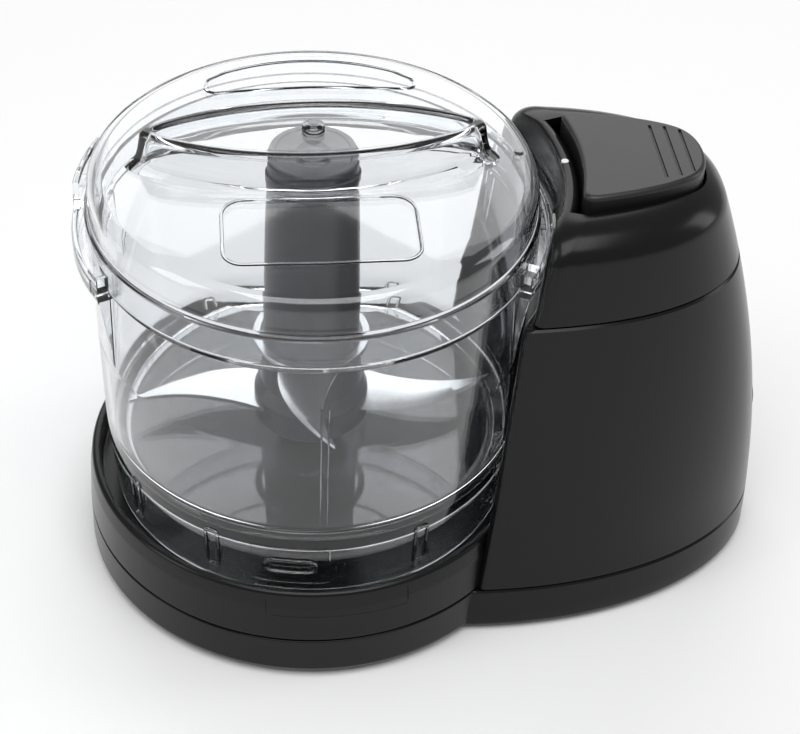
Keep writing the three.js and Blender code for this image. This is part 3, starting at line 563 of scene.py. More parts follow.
def make_tower_cap():
    """Cap with a rolled rim along the nest, rounded shoulders, the button's opening and a valley. The
    shoulder is a quarter ellipse, deep high and wide across."""
    high = CAP_TOP
    deep, wide = 7.2, 9.5
    z = np.concatenate([[CAP_SEAM + GAP / 2, CAP_SEAM + GAP / 2 + 0.5],
                        np.linspace(CAP_SEAM + 4, high - 8, 6),
                        high - deep * (1 - np.sin(np.linspace(0, np.pi / 2, 18)))])
    draw = wide * rolled((z - high + deep) / deep)
    draw[0] = 0.5
    nest = CAP_NEST_R + 1.7 * rolled((z - high + 2.2) / 2.2)
    nest[0] += 0.4
    corner = 2.2 + 1.6 * np.clip((z - CAP_SEAM) / 20, 0, 1)
    cap = build("tower_cap_shell", skin(tower_loops(z, draw, nest, corner)))
    limit = build("cap_limit", skin(tower_loops(z - 1, draw + 1, nest + 1, corner)))
    z = np.concatenate([np.linspace(CAP_SEAM - 2, high - 9, 5),
                        high - WALL - 6 * (1 - np.sin(np.linspace(0.2, 1.5, 6)))])
    inset = WALL + wide * rolled((z + WALL - high + deep) / deep)
    carve(cap, "DIFFERENCE",
          build("cap_room", skin(tower_loops(z, inset, CAP_NEST_R + WALL, 1.0, 40, 6, 30))))

    flare = [(0.8, high - 14), (0.8, high - 1.1), (0.9, high - 0.6), (1.15, high - 0.25), (1.6, high + 0.02),
             (1.8, high + 0.6)]
    opening = build("button_opening", skin(outline_loops(*zip(*flare))))
    spread = math.degrees(2 * math.asin((BUTTON_HALF + 1) / BUTTON_ARC))
    valley_in, valley_out, curl = 64.2, BUTTON_ARC + 3, 2.4
    fall = np.linspace(0, np.pi / 2, 8)
    outline = np.array([*zip(valley_in + curl * np.sin(fall), high - 2.38 + curl * np.cos(fall)),
                        (valley_in + curl, high - 5), (valley_out, high - 5), (valley_out, high + 3),
                        (valley_in, high + 3)])
    turn = np.radians(np.linspace(-spread / 2, spread / 2, 90))[:, None]
    valley = build("valley", skin(np.stack([outline[:, 0] * np.cos(turn), outline[:, 0] * np.sin(turn),
                                            np.repeat(outline[None, :, 1], 90, axis=0)], axis=-1)))
    carve(cap, "DIFFERENCE", valley, opening)

    inner = [build("valley_floor", sector(CAP_NEST_R + 1.4, BUTTON_ARC - 0.7, high - 6.6, high - 4.8, 0,
                                          spread + 2, 0.2, 60))]
    inner += [build("hinge_bridge", block((CAP_NEST_R + 0.4, -15, HINGE_Z - 6.5),
                                          (HINGE_X + 3, 15, HINGE_Z - 4.5)))]
    inner += [build(f"hinge_ear_{i}", block((HINGE_X - 2.4, y - 1, HINGE_Z - 6),
                                            (HINGE_X + 3, y + 1, HINGE_Z + 2.2)))
              for i, y in enumerate((11.6, -11.6))]
    upper = posts("cap_post", 3.4, CAP_SEAM + 2, high, CAP_POSTS)
    inner += [carve(limit, "INTERSECT", carve(upper[0], "UNION", upper[1]))]
    inner += posts("cap_foot", 3.4, CAP_SEAM - 3.6, CAP_SEAM + 4, CAP_POSTS)
    carve(cap, "UNION", *inner)
    holes = posts("cap_screw_hole", PILOT_R, CAP_SEAM - 5, CAP_SEAM + 9, CAP_POSTS, 24)
    holes += [level_pin("pin_hole", PIN_HOLE_R, -20, 20, "y", HINGE_X, 0, HINGE_Z),
              level_pin("interlock_hole", 2.4, 55, 70, "x", 0, 0, 100.5)]
    carve(cap, "DIFFERENCE", *holes)
    return smooth(cap)


# ------------------------------------------------------------ clear bowl
def on_bowl(azimuth, z, radius):
    """Points on the bowl's wall from azimuth in degrees and height."""
    turn = np.radians(azimuth)
    return np.column_stack([radius * np.cos(turn), radius * np.sin(turn), z])


def frame_path(middle, wide, low, high, corner, radius, count=8):
    """Rounded rectangle laid on the bowl's wall; wide is its width along the wall."""
    half = wide / 2
    flat = dense(rounded([(0, low, 0), (half, low, corner), (half, high, corner), (-half, high, corner),
                          (-half, low, corner), (0, low, 0)], count)[:-1], 1.5)
    return on_bowl(middle + np.degrees(flat[:, 0] / radius), flat[:, 1], wall_radius(flat[:, 1]) + 0.12)


def wall_radius(z):
    """Outside of the bowl at a height: nearly straight, drawn in towards the foot."""
    return np.interp(z, [BOWL_BASE, BOWL_FLOOR + 4, 74, BOWL_RIM],
                     [BOWL_R - 2.4, BOWL_R - 0.7, BOWL_R, BOWL_R])


def gusset(azimuth):
    """Thin web under a locking ear, standing out further with height, its outer edge a little thinner."""
    turn = math.radians(azimuth)
    along = np.array([math.cos(turn), math.sin(turn)])
    across = np.array([-math.sin(turn), math.cos(turn)])
    root = BOWL_R - 0.6
    rows = []
    for z, stand in ((76, 0.1), (84, 0.8), (92, 2.0), (LID_BASE - 3.4, 3.0)):
        out = BOWL_R + stand
        corners = ((root, -0.7), (out, -0.5), (out, 0.5), (root, 0.7))
        rows.append([[*(along * r + across * s), z] for r, s in corners])
    return skin(np.array(rows))


def make_bowl():
    """Bowl with its skirt, centre tube, locking ears with gussets, and moulded ribs."""
    inner = BOWL_R - BOWL_WALL
    under = BOWL_FLOOR - BOWL_WALL
    shell = build("bowl_shell", lathe([
        (7.0, under, 0.4), (inner - 1.6, under, 1.0), (inner - 2.4, BOWL_BASE, 0.4),
        (BOWL_R - 2.4, BOWL_BASE, 0.5), (BOWL_R - 0.7, BOWL_FLOOR + 4, 30), (BOWL_R, 74, 40),
        (BOWL_R, LID_BASE - 2, 0.5), (BOWL_R - 0.6, LID_BASE - 1.2, 0.4), (BOWL_R - 0.6, BOWL_RIM, 0.6),
        (inner, BOWL_RIM, 0.6), (inner, 74, 40), (inner - 0.7, BOWL_FLOOR + 6, 6),
        (inner - 5, BOWL_FLOOR, 3), (9.6, BOWL_FLOOR, 1.2), (8.2, 66, 0.5), (6.0, 66, 0.4),
        (7.0, under, 0)], cols=224, steps=6))
    parts = [sector(BOWL_R - 0.4, NEST_R - 0.7, LID_BASE - 4.2, LID_BASE - 2.4, middle, spread)
             for middle, spread in ((0, 58), (182, 46))]
    parts += [gusset(azimuth) for azimuth in (-28.5, 28.5, 159.5, 204.5)]
    parts += [bead(frame_path(azimuth, 3.4, 28.5, 41, 0.9, 55), 0.5)
              for azimuth in (-149, -120.5, -62.5, -30, 60, 90, 120, 150)]
    latch = -98.7
    parts.append(bead(frame_path(latch, 13, 31.2, 35.6, 2.0, 54.6), 0.55, 10))
    parts.append(bead(frame_path(latch, 20, 27.2, 40.2, 0.6, 54.6), 0.14, 6))
    z = np.linspace(50, 88, 30)
    parts += [bead(on_bowl(np.full(30, azimuth), z, wall_radius(z)), 0.26, 8, closed=False)
              for azimuth in (-91.0, -89.2)]
    carve(shell, "UNION", *[build(f"bowl_part_{i}", part) for i, part in enumerate(parts)])
    return smooth(shell, 40)


# ------------------------------------------------------------ clear lid
GRIP_HALF = 46.5
GRIP_WIDE = 13.5


def almond(turn, margin):
    """Distance from the centre to the grip's outline: the far crossing of a ray with one of two
    equal arcs, the sine softened near zero so that the tips are round."""
    half, wide = GRIP_HALF + margin, GRIP_WIDE + margin
    radius = (half ** 2 + wide ** 2) / (2 * wide)
    offset = wide - radius
    rise = np.sqrt(np.sin(turn) ** 2 + 0.05 ** 2)
    return rise * offset + np.sqrt((rise * offset) ** 2 + radius ** 2 - offset ** 2)


def dome(r):
    """Height of the lid's outer skin: a straight cone eased level at the middle."""
    return LID_SHOULDER + 4.6 * (1 - np.sqrt((np.asarray(r) / 54.4) ** 2 + 0.01))


def lid_loops(turn, drop, shrink, stations):
    """Rings of the lid from its middle outwards: grip plateau, grip wall, dome, then round rings."""
    plan = []
    for kind, value, z in stations:
        if kind == "plateau":
            radius, height = almond(turn, -4.0 - shrink) * value, np.full(len(turn), z)
        elif kind == "grip":
            radius, height = almond(turn, value - shrink), np.full(len(turn), z)
        elif kind == "dome":
            foot = almond(turn, 3.6 - shrink)
            radius = foot + (50.0 - foot) * value
            height = dome(radius) - drop
        else:
            radius, height = np.full(len(turn), value), np.full(len(turn), z)
        plan.append(np.stack([radius * np.cos(turn), radius * np.sin(turn), height], axis=-1))
    return plan


def lid_skin():
    """The lid's closed shell: outer skin from the grip's plateau outwards, round the stepped rim, and
    back along the inner skin."""
    flat = np.linspace(0, 2 * np.pi, 288, endpoint=False)
    turn = flat - 0.36 * np.sin(2 * flat)
    top = LID_TOP
    shoulder = float(dome(50.0))
    plateau = [("plateau", share, top - 0.8) for share in (0.05, 0.3, 0.6, 0.85, 1.0)]
    rim = [("grip", m, top + dz) for m, dz in ((-3.6, -0.7), (-3.2, -0.35), (-2.7, -0.08), (-2.1, 0.0),
                                               (-1.3, -0.02), (-0.6, -0.3), (-0.15, -0.8), (0.0, -1.5))]
    foot = float(dome(30.0))
    wall_rows = [("grip", 0.5, foot + 4.0), ("grip", 1.0, foot + 2.0), ("grip", 1.5, foot + 1.0),
                 ("grip", 2.2, foot + 0.45)]
    slope = [("dome", share, 0) for share in np.linspace(0, 1, 18)]
    outside = [("ring", r, z) for r, z in rounded([
        (50.0, shoulder, 0), (LID_R - 1.1, LID_SHOULDER - 0.2, 4.2), (LID_R - 1.0, BOWL_RIM + 2.2, 0.8),
        (LID_R, BOWL_RIM + 1.4, 0.7), (LID_R, LID_BASE, 0.5), (LID_R - 1.4, LID_BASE, 0.4),
        (LID_R - 1.4, BOWL_RIM + 0.6, 0.4), (LID_R - 2.6, BOWL_RIM + 1.2, 0.5),
        (LID_R - 2.7, LID_SHOULDER - 1.8, 2.8), (50.0, shoulder - LID_WALL, 0)], 7)[1:-1]]
    outer = lid_loops(turn, 0.0, 0.0, plateau + rim + wall_rows + slope)
    edge = lid_loops(turn, 0.0, 0.0, outside)
    low_rim = [("grip", m, top - LID_WALL + dz) for m, dz in ((-1.2, -0.6), (-0.4, -1.4))]
    low_wall = [("grip", 0.5, foot + 2.0), ("grip", 1.4, foot - LID_WALL + 0.6)]
    low_plateau = [("plateau", share, top - 0.8 - LID_WALL) for share in (0.05, 0.5, 1.0)]
    inner = lid_loops(turn, LID_WALL, LID_WALL, low_plateau + low_rim + low_wall + slope)
    return skin(np.array(outer + edge + inner[::-1]))


def lid_ears():
    """The two locking ears: a flange with an upright lip along its outer edge, a key below the one on
    the tower's side, and a block at each end of each ear."""
    parts = []
    for middle, spread in ((0, 60), (184, 44)):
        parts.append(sector(LID_R - 0.7, NEST_R + 0.5, LID_BASE - 1.2, LID_BASE + 0.8, middle, spread))
        parts.append(sector(NEST_R - 0.9, NEST_R + 0.6, LID_BASE - 1.2, LID_BASE + 3.4, middle, spread - 4))
    parts.append(sector(LID_R - 0.7, NEST_R + 1.1, LID_BASE - 1.8, LID_BASE + 1, 0, 8, 0.4, 20))
    for azimuth in (-29.5, 29.5, 160, 205):
        parts.append(sector(LID_R - 1.2, NEST_R + 0.4, LID_BASE - 1.5, LID_BASE + 5.5, azimuth, 5, 0.6, 14))
    return parts


def lid_frames():
    """Fine moulded lines of the two empty frames, laid on the dome: one in front of the grip, and one
    behind it whose far side follows the lid's round edge."""
    swing = np.radians(np.linspace(122, 54, 24))
    far_side = [(47.6 * math.cos(a), 47.6 * math.sin(a), 0) for a in swing[2:-2]]
    rear = [(1, 32.4, 0), (-26.5, 31.6, 3), (-26.0, 38.6, 3), *far_side, (28.6, 36.6, 3), (28.6, 31.6, 3),
            (1, 32.4, 0)]
    front = [(0, -19.5, 0), (23.5, -18.6, 5), (23.5, -42.1, 5), (0, -43.0, 60), (-23.5, -42.1, 5),
             (-23.5, -18.6, 5), (0, -19.5, 0)]
    lines = []
    for outline in (front, rear):
        plan = dense(rounded(outline, 8)[:-1], 1.2)
        height = dome(np.linalg.norm(plan, axis=1)) + 0.05
        lines.append(bead(np.column_stack([plan, height]), 0.45))
    return lines


def make_lid():
    """Lid: dome with a raised, slightly dished grip, a stepped rim, ears, side tab and empty frames."""
    top = LID_TOP
    dot_r = 52
    dot_top = float(dome(dot_r))
    tab = sector(NEST_R - 1.4, NEST_R + 0.4, LID_BASE - 1.2, LID_BASE + 11.5, 165, 20, 0.7, 40)
    web = sector(LID_R - 0.7, NEST_R - 0.6, LID_BASE + 3, LID_BASE + 5, 165, 18, 0.4, 30)
    gate = lathe([(0, top - 1.4, 0), (3, top - 1.4, 0), (2.8, top + 0.3, 0.6), (1.6, top + 1.1, 0.8),
                  (0, top + 1.2, 0)], 48)
    dot = lathe([(0, 119.4, 0), (1.3, 119.4, 0), (1.2, dot_top + 0.5, 0.4), (0, dot_top + 0.7, 0)],
                24, dot_r, 2)
    lid = build("lid_shell", lid_skin())
    parts = lid_ears() + [tab, web, gate, dot] + lid_frames()
    carve(lid, "UNION", *[build(f"lid_part_{i}", part) for i, part in enumerate(parts)])
    return smooth(lid, 40)


# ------------------------------------------------------------ blade
def make_hub():
    """Hollow column with a flared foot, open below over the bowl's tube."""
    top = HUB[1][2]
    hub = build("blade_hub_shell", lathe([
        (9.8, HUB[0][2], 0), (15.6, HUB[0][2], 0.6), (15.4, 49, 1.5), (13.8, 53, 2), (13.0, 62, 4),
        (12.2, 100, 4), (11.7, top, 0.4), (4.9, top, 0), (4.9, 67, 0), (8.7, 67, 0), (9.8, HUB[0][2], 0)],
        cols=192))
    return smooth(hub, 35)


def wing(reach, z, turn):
    """One blade wing: cross-sections between a leading and a trailing quadratic curve, thinning to a
    ground edge on the leading side."""
    u = np.linspace(0, 1, 40)[:, None]
    lead = (1 - u) ** 2 * [12.6, -9] + 2 * (1 - u) * u * [reach * 0.6, -13] + u ** 2 * [reach, 3]
    trail = ((1 - u) ** 2 * [12.6, 8.4] + 2 * (1 - u) * u * [reach * 0.66, -3]
             + u ** 2 * [reach - 0.6, 3.2])
    section = [(0.0, 0.55), (0.22, 0.05), (0.6, 0.0), (1.0, 0.0), (1.0, BLADE_THICK), (0.6, BLADE_THICK),
               (0.24, BLADE_THICK), (0.0, 0.65)]
    rows = [np.concatenate([lead + (trail - lead) * share, np.full((40, 1), z + rise)], axis=1)
            for share, rise in section]
    c, s = math.cos(turn), math.sin(turn)
    return skin(np.stack(rows, axis=1) @ np.array([[c, s, 0], [-s, c, 0], [0, 0, 1]]))


def make_blade(name, node, reach, ring_in, ring_out, quarter):
    """Flat ring round the column with two wings, half a turn apart."""
    z = span(node)[0][2]
    ring = lathe([(ring_in, z, 0), (ring_out, z, 0.2), (ring_out, z + BLADE_THICK, 0.2),
                  (ring_in, z + BLADE_THICK, 0), (ring_in, z, 0)], 96)
    wings = [build(f"{name}_wing_{i}", wing(reach, z, quarter + i * math.pi)) for i in (0, 1)]
    return smooth(carve(build(name, ring), "UNION", *wings), 25)


def make_hub_cap():
    """Flat cap on the column, stepped in above its seam, with a shallow dish and a dimple on top."""
    top = HUB_TOP
    low = HUB_CAP[0][2]
    return smooth(build("hub_cap_disc", lathe([
        (0, low, 0), (11.9, low, 0.5), (11.9, top - 4.2, 0.5), (11.3, top - 3.8, 0.2), (11.3, top, 0.7),
        (9.6, top, 0.3), (9.3, top - 0.25, 0.2), (4.4, top - 0.25, 0.4), (3.2, top - 0.9, 0.6),
        (0, top - 0.9, 0)], 128)))


# ------------------------------------------------------------ shaft, bush, gland, feet, dot
HEX_FROM = 61.9


def six_sided(turn, z):
    """Scale that turns the shaft's upper end into a hexagon; below it the shaft stays round."""
    flat = math.cos(math.pi / 6) / np.cos(turn % (math.pi / 3) - math.pi / 6)
    return np.where(z > HEX_FROM, flat, 1.0)


def make_drive_shaft():
    """Round shaft whose tapered upper end is six-sided, so that the column can't slip on it."""
    return smooth(build("drive_shaft_turned", lathe([
        (0, 2.5, 0), (4, 2.5, 0.5), (4, 61.8, 0.2), (4.2, 62, 0), (3.6, 91.2, 0), (3.2, 92, 0.3),
        (0, 92, 0)], 96, flute=six_sided)), 25)


def make_upper_bush():
    """Bronze sleeve with a thin collar at its top."""
    return smooth(build("upper_bush_turned", lathe([
        (4.15, 18.1, 0), (6.1, 18.1, 0.3), (6.1, 33.9, 0), (7.4, 33.9, 0.2), (7.4, 34.9, 0.3),
        (4.15, 34.9, 0.3), (4.15, 18.1, 0)], 96)))


def make_cord_gland():
    """Rubber sleeve through the tower's rear end, with its collar inside the wall."""
    gland = build("cord_gland_ribbed", lathe([
        (3.1, 0, 0), (5, 0, 0.5), (5, 3.9, 0.2), (7.4, 3.9, 0.3), (7.4, 5.5, 0.3), (3.1, 5.5, 0.3),
        (3.1, 0, 0)], 64))
    return smooth(lay_along_x(gland, GLAND[1][0], -math.pi / 2))


def make_foot_pad(name, node, x, y):
    """Round rubber pad with a rolled lower edge."""
    low, high = span(node)
    return smooth(build(name, lathe([(0, low[2] + 0.01, 0), (5.0, low[2] + 0.01, 0.7), (5.5, high[2], 0.1),
                                     (0, high[2], 0)], 64, x, y)))


def make_base_dot():
    """Small painted dot on the cap's rim, which the lid's dot is set against."""
    turn = math.radians(1.5)
    return smooth(build("base_dot", lathe([
        (0, CAP_TOP - 0.5, 0), (0.95, CAP_TOP - 0.5, 0), (0.95, CAP_TOP + 0.08, 0.1),
        (0, CAP_TOP + 0.1, 0)], 32, 64.0 * math.cos(turn), 64.0 * math.sin(turn))))


# ------------------------------------------------------------ materials
def shared_group(name, inputs, outputs):
    """Empty shader node group with named sockets."""
    group = bpy.data.node_groups.new(name, "ShaderNodeTree")
    for label, value in inputs:
        group.interface.new_socket(label, in_out="INPUT", socket_type="NodeSocketFloat").default_value = value
    for label, kind in outputs:
        group.interface.new_socket(label, in_out="OUTPUT", socket_type=kind)
    return group, group.nodes.new("NodeGroupInput"), group.nodes.new("NodeGroupOutput")


def noise(nodes, links, where, scale, detail=3.0, rough=0.5):
    """Noise texture on the given coordinates; scale is a number or another node's output."""
    node = nodes.new("ShaderNodeTexNoise")
    node.inputs["Detail"].default_value = detail
    node.inputs["Roughness"].default_value = rough
    if isinstance(scale, float):
        node.inputs["Scale"].default_value = scale
    else:
        links.new(scale, node.inputs["Scale"])
    links.new(where, node.inputs["Vector"])
    return node


def math_node(nodes, links, operation, first, second):
    """Output of a Math node whose two inputs are numbers or other nodes' outputs."""
    node = nodes.new("ShaderNodeMath")
    node.operation = operation
    for socket, value in zip(node.inputs, (first, second)):
        if isinstance(value, (int, float)):
            socket.default_value = value
        else:
            links.new(value, socket)
    return node.outputs[0]


def make_moulding_group():
    """Moulded plastic: slow flow marks, fine grain and a little dust, as roughness and height."""
    group, source, sink = shared_group(
        "moulding", [("Scale", 100.0), ("Roughness", 0.3), ("Spread", 0.1), ("Grain", 0.3)],
        [("Roughness", "NodeSocketFloat"), ("Height", "NodeSocketFloat"), ("Dust", "NodeSocketFloat")])
    nodes, links = group.nodes, group.links
    where = nodes.new("ShaderNodeTexCoord").outputs["Object"]
    flow = noise(nodes, links, where, 14.0, 2.0).outputs["Fac"]
    grain = noise(nodes, links, where, source.outputs["Scale"], 4.0, 0.6).outputs["Fac"]
    specks = noise(nodes, links, where, 900.0, 1.0).outputs["Fac"]
    swing = math_node(nodes, links, "MULTIPLY", math_node(nodes, links, "SUBTRACT", flow, 0.5),
                      source.outputs["Spread"])
    fine = math_node(nodes, links, "MULTIPLY", math_node(nodes, links, "SUBTRACT", grain, 0.5),
                     math_node(nodes, links, "MULTIPLY", source.outputs["Spread"], 0.6))
    total = math_node(nodes, links, "ADD", source.outputs["Roughness"],
                      math_node(nodes, links, "ADD", swing, fine))
    links.new(total, sink.inputs["Roughness"])
    links.new(math_node(nodes, links, "MULTIPLY", grain, source.outputs["Grain"]), sink.inputs["Height"])
    dust = math_node(nodes, links, "GREATER_THAN", specks, 0.74)
    links.new(dust, sink.inputs["Dust"])
    return group


def make_ground_group():
    """Ground metal: long fine scratches along one way, with slow cloudy changes of shine."""
    group, source, sink = shared_group(
        "ground_metal", [("Scale", 400.0), ("Roughness", 0.25), ("Spread", 0.2)],
        [("Roughness", "NodeSocketFloat"), ("Height", "NodeSocketFloat"), ("Shade", "NodeSocketFloat")])
    nodes, links = group.nodes, group.links
    where = nodes.new("ShaderNodeTexCoord").outputs["Object"]
    stretch = nodes.new("ShaderNodeMapping")
    stretch.inputs["Scale"].default_value = (1.0, 0.06, 1.0)
    links.new(where, stretch.inputs["Vector"])
    lines = noise(nodes, links, stretch.outputs["Vector"], source.outputs["Scale"], 5.0, 0.7).outputs["Fac"]
    cloud = noise(nodes, links, where, 40.0, 2.0).outputs["Fac"]
    swing = math_node(nodes, links, "MULTIPLY", math_node(nodes, links, "SUBTRACT", lines, 0.5),
                      source.outputs["Spread"])
    links.new(math_node(nodes, links, "ADD", source.outputs["Roughness"], swing), sink.inputs["Roughness"])
    links.new(lines, sink.inputs["Height"])
    links.new(math_node(nodes, links, "ADD", math_node(nodes, links, "MULTIPLY", cloud, 0.3), 0.7),
              sink.inputs["Shade"])
    return group


MOULDING = make_moulding_group()
GROUND = make_ground_group()


def principled(name, color, metallic=0.0, ior=1.5):
    """New material with one plain colour, and its shader."""
    material = bpy.data.materials.new(name)
    material.use_nodes = True
    shader = material.node_tree.nodes["Principled BSDF"]
    shader.inputs["Base Color"].default_value = (*color, 1)
    shader.inputs["Metallic"].default_value = metallic
    shader.inputs["IOR"].default_value = ior
    return material, shader


def bump(material, shader, height, strength, distance):
    """Fine relief on a shader's normal, from a height."""
    node = material.node_tree.nodes.new("ShaderNodeBump")
    node.inputs["Strength"].default_value = strength
    node.inputs["Distance"].default_value = distance
    material.node_tree.links.new(height, node.inputs["Height"])
    material.node_tree.links.new(node.outputs["Normal"], shader.inputs["Normal"])


def two_tone(material, shader, mask, low, high):
    """Base colour between two tones by a mask."""
    nodes, links = material.node_tree.nodes, material.node_tree.links
    mix = nodes.new("ShaderNodeMix")
    mix.data_type = "RGBA"
    mix.inputs["A"].default_value = (*low, 1)
    mix.inputs["B"].default_value = (*high, 1)
    links.new(mask, mix.inputs["Factor"])
    links.new(mix.outputs["Result"], shader.inputs["Base Color"])


def shaped(material, shader, group, values, strength, distance):
    """Places a shared group in a material: its roughness and its height as fine relief."""
    node = material.node_tree.nodes.new("ShaderNodeGroup")
    node.node_tree = group
    for label, value in values:
        node.inputs[label].default_value = value
    material.node_tree.links.new(node.outputs["Roughness"], shader.inputs["Roughness"])
    bump(material, shader, node.outputs["Height"], strength, distance)
    return node


def plastic(name, color, dusty, roughness, spread, grain=0.3, scale=350.0, strength=0.1, ior=1.5):
    """Opaque moulding, rubber, carbon or paint, with specks of a second tone."""
    material, shader = principled(name, color, ior=ior)
    values = (("Scale", scale), ("Roughness", roughness), ("Spread", spread), ("Grain", grain))
    shape = shaped(material, shader, MOULDING, values, strength, 0.0002)
    two_tone(material, shader, shape.outputs["Dust"], color, dusty)
    return material


def metal(name, color, roughness, spread, scale=400.0, strength=0.15):
    """Ground or plated metal, its colour darker in clouds."""
    material, shader = principled(name, color, metallic=1.0)
    values = (("Scale", scale), ("Roughness", roughness), ("Spread", spread))
    shape = shaped(material, shader, GROUND, values, strength, 0.0001)
    two_tone(material, shader, shape.outputs["Shade"], tuple(0.6 * c for c in color), color)
    return material


def clear_plastic(name, tint, roughness):
    """Clear moulded plastic; rays from lamps pass, so what is inside stays lit."""
    material, shader = principled(name, tint, ior=1.5)
    nodes, links = material.node_tree.nodes, material.node_tree.links
    shader.inputs["Transmission Weight"].default_value = 1.0
    values = (("Scale", 120.0), ("Roughness", roughness), ("Spread", 0.05), ("Grain", 0.3))
    shaped(material, shader, MOULDING, values, 0.04, 0.0003)
    through = nodes.new("ShaderNodeBsdfTransparent")
    through.inputs["Color"].default_value = (0.93, 0.94, 0.95, 1)
    path = nodes.new("ShaderNodeLightPath")
    mix = nodes.new("ShaderNodeMixShader")
    links.new(path.outputs["Is Shadow Ray"], mix.inputs[0])
    links.new(shader.outputs[0], mix.inputs[1])
    links.new(through.outputs[0], mix.inputs[2])
    links.new(mix.outputs[0], nodes["Material Output"].inputs["Surface"])
    return material


LOOKS = {
    "housing": plastic("black_moulding", (0.004, 0.0041, 0.0043), (0.008, 0.008, 0.0083), 0.22, 0.1,
                       ior=1.34),
    "clear": clear_plastic("clear_moulding", (0.93, 0.945, 0.96), 0.03),
    "hub": plastic("grey_moulding", (0.013, 0.015, 0.019), (0.02, 0.022, 0.026), 0.32, 0.12, scale=260.0),
    "steel": metal("ground_steel", (0.68, 0.69, 0.7), 0.22, 0.18),
    "dark": plastic("filled_nylon", (0.015, 0.015, 0.016), (0.03, 0.03, 0.03), 0.5, 0.15),
    "nylon": plastic("natural_nylon", (0.72, 0.69, 0.6), (0.6, 0.57, 0.5), 0.45, 0.15),
    "brass": metal("bearing_bronze", (0.62, 0.42, 0.2), 0.38, 0.2),
    "zinc": metal("zinc_plate", (0.52, 0.54, 0.57), 0.34, 0.2, 300.0),
    "copper": metal("bright_copper", (0.75, 0.36, 0.18), 0.3, 0.2),
    "carbon": plastic("sintered_carbon", (0.035, 0.035, 0.038), (0.06, 0.06, 0.06), 0.65, 0.2, 0.6),
    "rubber": plastic("black_rubber", (0.014, 0.014, 0.014), (0.05, 0.05, 0.048), 0.75, 0.15, 0.8, 500.0,
                      0.3),
    "board": plastic("green_lacquer", (0.02, 0.13, 0.04), (0.04, 0.2, 0.07), 0.3, 0.1),
}
BUTTON_LOOK = plastic("satin_black_moulding", (0.013, 0.0125, 0.012), (0.02, 0.02, 0.019), 0.36, 0.1, 0.5,
                      600.0, 0.2)
WHITE_PAINT = plastic("white_paint", (0.8, 0.8, 0.78), (0.7, 0.7, 0.68), 0.4, 0.1)


def dress(piece, body, slot, *nodes, look=None):
    """Gives a piece its finish, from its slot's look unless one is given, and its body, and hides the CAD
    nodes that it stands for.
    """
    piece.data.materials.clear()
    piece.data.materials.append(look or LOOKS[slot])
    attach(piece, body)
    if nodes:
        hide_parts(*nodes)
    return piece


# ------------------------------------------------------------ pieces
dress(make_main_housing(), "base", "housing", "main_housing")
dress(make_bottom_cover(), "base", "housing", "bottom_cover")
dress(make_tower_cap(), "base", "housing", "tower_cap")
dress(make_pulse_button(), "button", "housing", "pulse_button", look=BUTTON_LOOK)
dress(make_bowl(), "bowl", "clear", "bowl")
dress(make_lid(), "lid", "clear", "lid")

dress(make_hub(), "blade", "hub", "blade_hub")
dress(make_hub_cap(), "blade", "hub", "hub_cap")
dress(make_blade("lower_blade_ground", "lower_blade", 50, 12.5, 15.2, 0.0), "blade", "steel", "lower_blade")
dress(make_blade("upper_blade_ground", "upper_blade", 46, 13.7, 15.6, math.pi / 2), "blade", "steel",
      "upper_blade")
dress(make_drive_shaft(), "spindle", "steel", "drive_shaft")
dress(make_upper_bush(), "base", "brass", "upper_bush")
dress(make_cord_gland(), "base", "rubber", "cord_gland")
for i, (x, y) in enumerate(FOOT_PLACES):
    foot_node = f"rubber_foot_{i + 1}"
    dress(make_foot_pad(f"foot_pad_{i + 1}", foot_node, x, y), "base", "rubber", foot_node)
dress(make_base_dot(), "base", "housing", look=WHITE_PAINT)

# the other CAD nodes keep their shapes and take the finish of their slot
slots = {row["node"]: row["material_slot"] for row in frame["record"]["subparts"]}
for name, node in frame["nodes"].items():
    node.data.materials.clear()
    node.data.materials.append(LOOKS[slots[name]])


# ------------------------------------------------------------ floor, light, camera
MIDDLE = (0, 0, 0.06)
REACH = 0.5225
LOOK_DOWN = math.radians(38.34)
SWING = math.radians(3.7)
ROLL = math.radians(0.57)
AIM = place([0, 0, 74.9])


def make_floor(half=6.0):
    """Plain pale square, half metres from its middle to each side."""
    mesh = bpy.data.meshes.new("floor")
    corners = [(-half, -half, 0), (half, -half, 0), (half, half, 0), (-half, half, 0)]
    mesh.from_pydata(corners, [], [(0, 1, 2, 3)])
    floor = bpy.data.objects.new("floor", mesh)
    bpy.context.scene.collection.objects.link(floor)
    look, shader = principled("pale_floor", (0.93, 0.93, 0.93))
    shader.inputs["Roughness"].default_value = 0.7
    mesh.materials.append(look)
    return floor


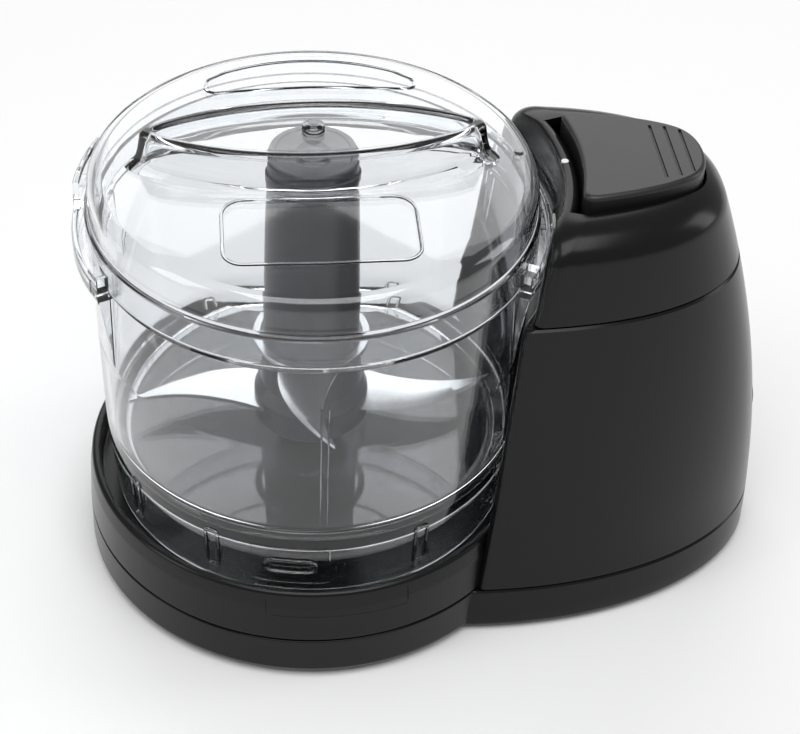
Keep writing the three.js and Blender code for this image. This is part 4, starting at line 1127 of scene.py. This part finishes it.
def make_world(strength):
    """Even white light from all round."""
    world = bpy.data.worlds.new("soft_room")
    world.use_nodes = True
    world.node_tree.nodes["Background"].inputs["Color"].default_value = (1, 1, 1, 1)
    world.node_tree.nodes["Background"].inputs["Strength"].default_value = strength
    bpy.context.scene.world = world


def softbox(name, where, size, power):
    """Rectangular lamp that faces the object's middle."""
    light = bpy.data.lights.new(name, "AREA")
    light.shape = "RECTANGLE"
    light.size, light.size_y = size
    light.energy = power
    lamp = bpy.data.objects.new(name, light)
    lamp.location = where
    away = np.array(where) - np.array(MIDDLE)
    lean = math.atan2(math.hypot(away[0], away[1]), away[2])
    lamp.rotation_euler = (lean, 0, math.atan2(away[1], away[0]) + math.pi / 2)
    bpy.context.scene.collection.objects.link(lamp)


def make_camera():
    """Camera REACH metres from AIM, to the front and left of it by SWING, looking down by LOOK_DOWN,
    and turned about its own axis by ROLL."""
    flat = math.cos(LOOK_DOWN)
    outward = np.array([-flat * math.sin(SWING), -flat * math.cos(SWING), math.sin(LOOK_DOWN)])
    level = np.cross([0, 0, 1], outward)
    level /= np.linalg.norm(level)
    upright = np.cross(outward, level)
    right = level * math.cos(ROLL) + upright * math.sin(ROLL)
    up = -level * math.sin(ROLL) + upright * math.cos(ROLL)
    lens = bpy.data.cameras.new("camera")
    lens.sensor_width = 36
    lens.lens = 89.0
    lens.shift_x = 0.1104
    lens.shift_y = -0.076
    lens.clip_start = 0.01
    camera = bpy.data.objects.new("camera", lens)
    pose = np.vstack([np.column_stack([right, up, outward, AIM + outward * REACH]), [0, 0, 0, 1]])
    camera.matrix_world = Matrix(pose.tolist())
    bpy.context.scene.collection.objects.link(camera)
    bpy.context.scene.camera = camera


floor = make_floor()
make_world(0.4)
softbox("overhead", (0.0, -0.4, 1.2), (1.0, 0.8), 8.5)
softbox("behind", (0.1, 1.5, 0.95), (1.8, 1.0), 10)
softbox("left", (-1.2, -0.35, 0.8), (0.5, 0.9), 3.2)
softbox("right", (1.3, 0.1, 0.55), (0.4, 0.8), 2.6)
make_camera()
bpy.context.scene.view_settings.view_transform = "Standard"
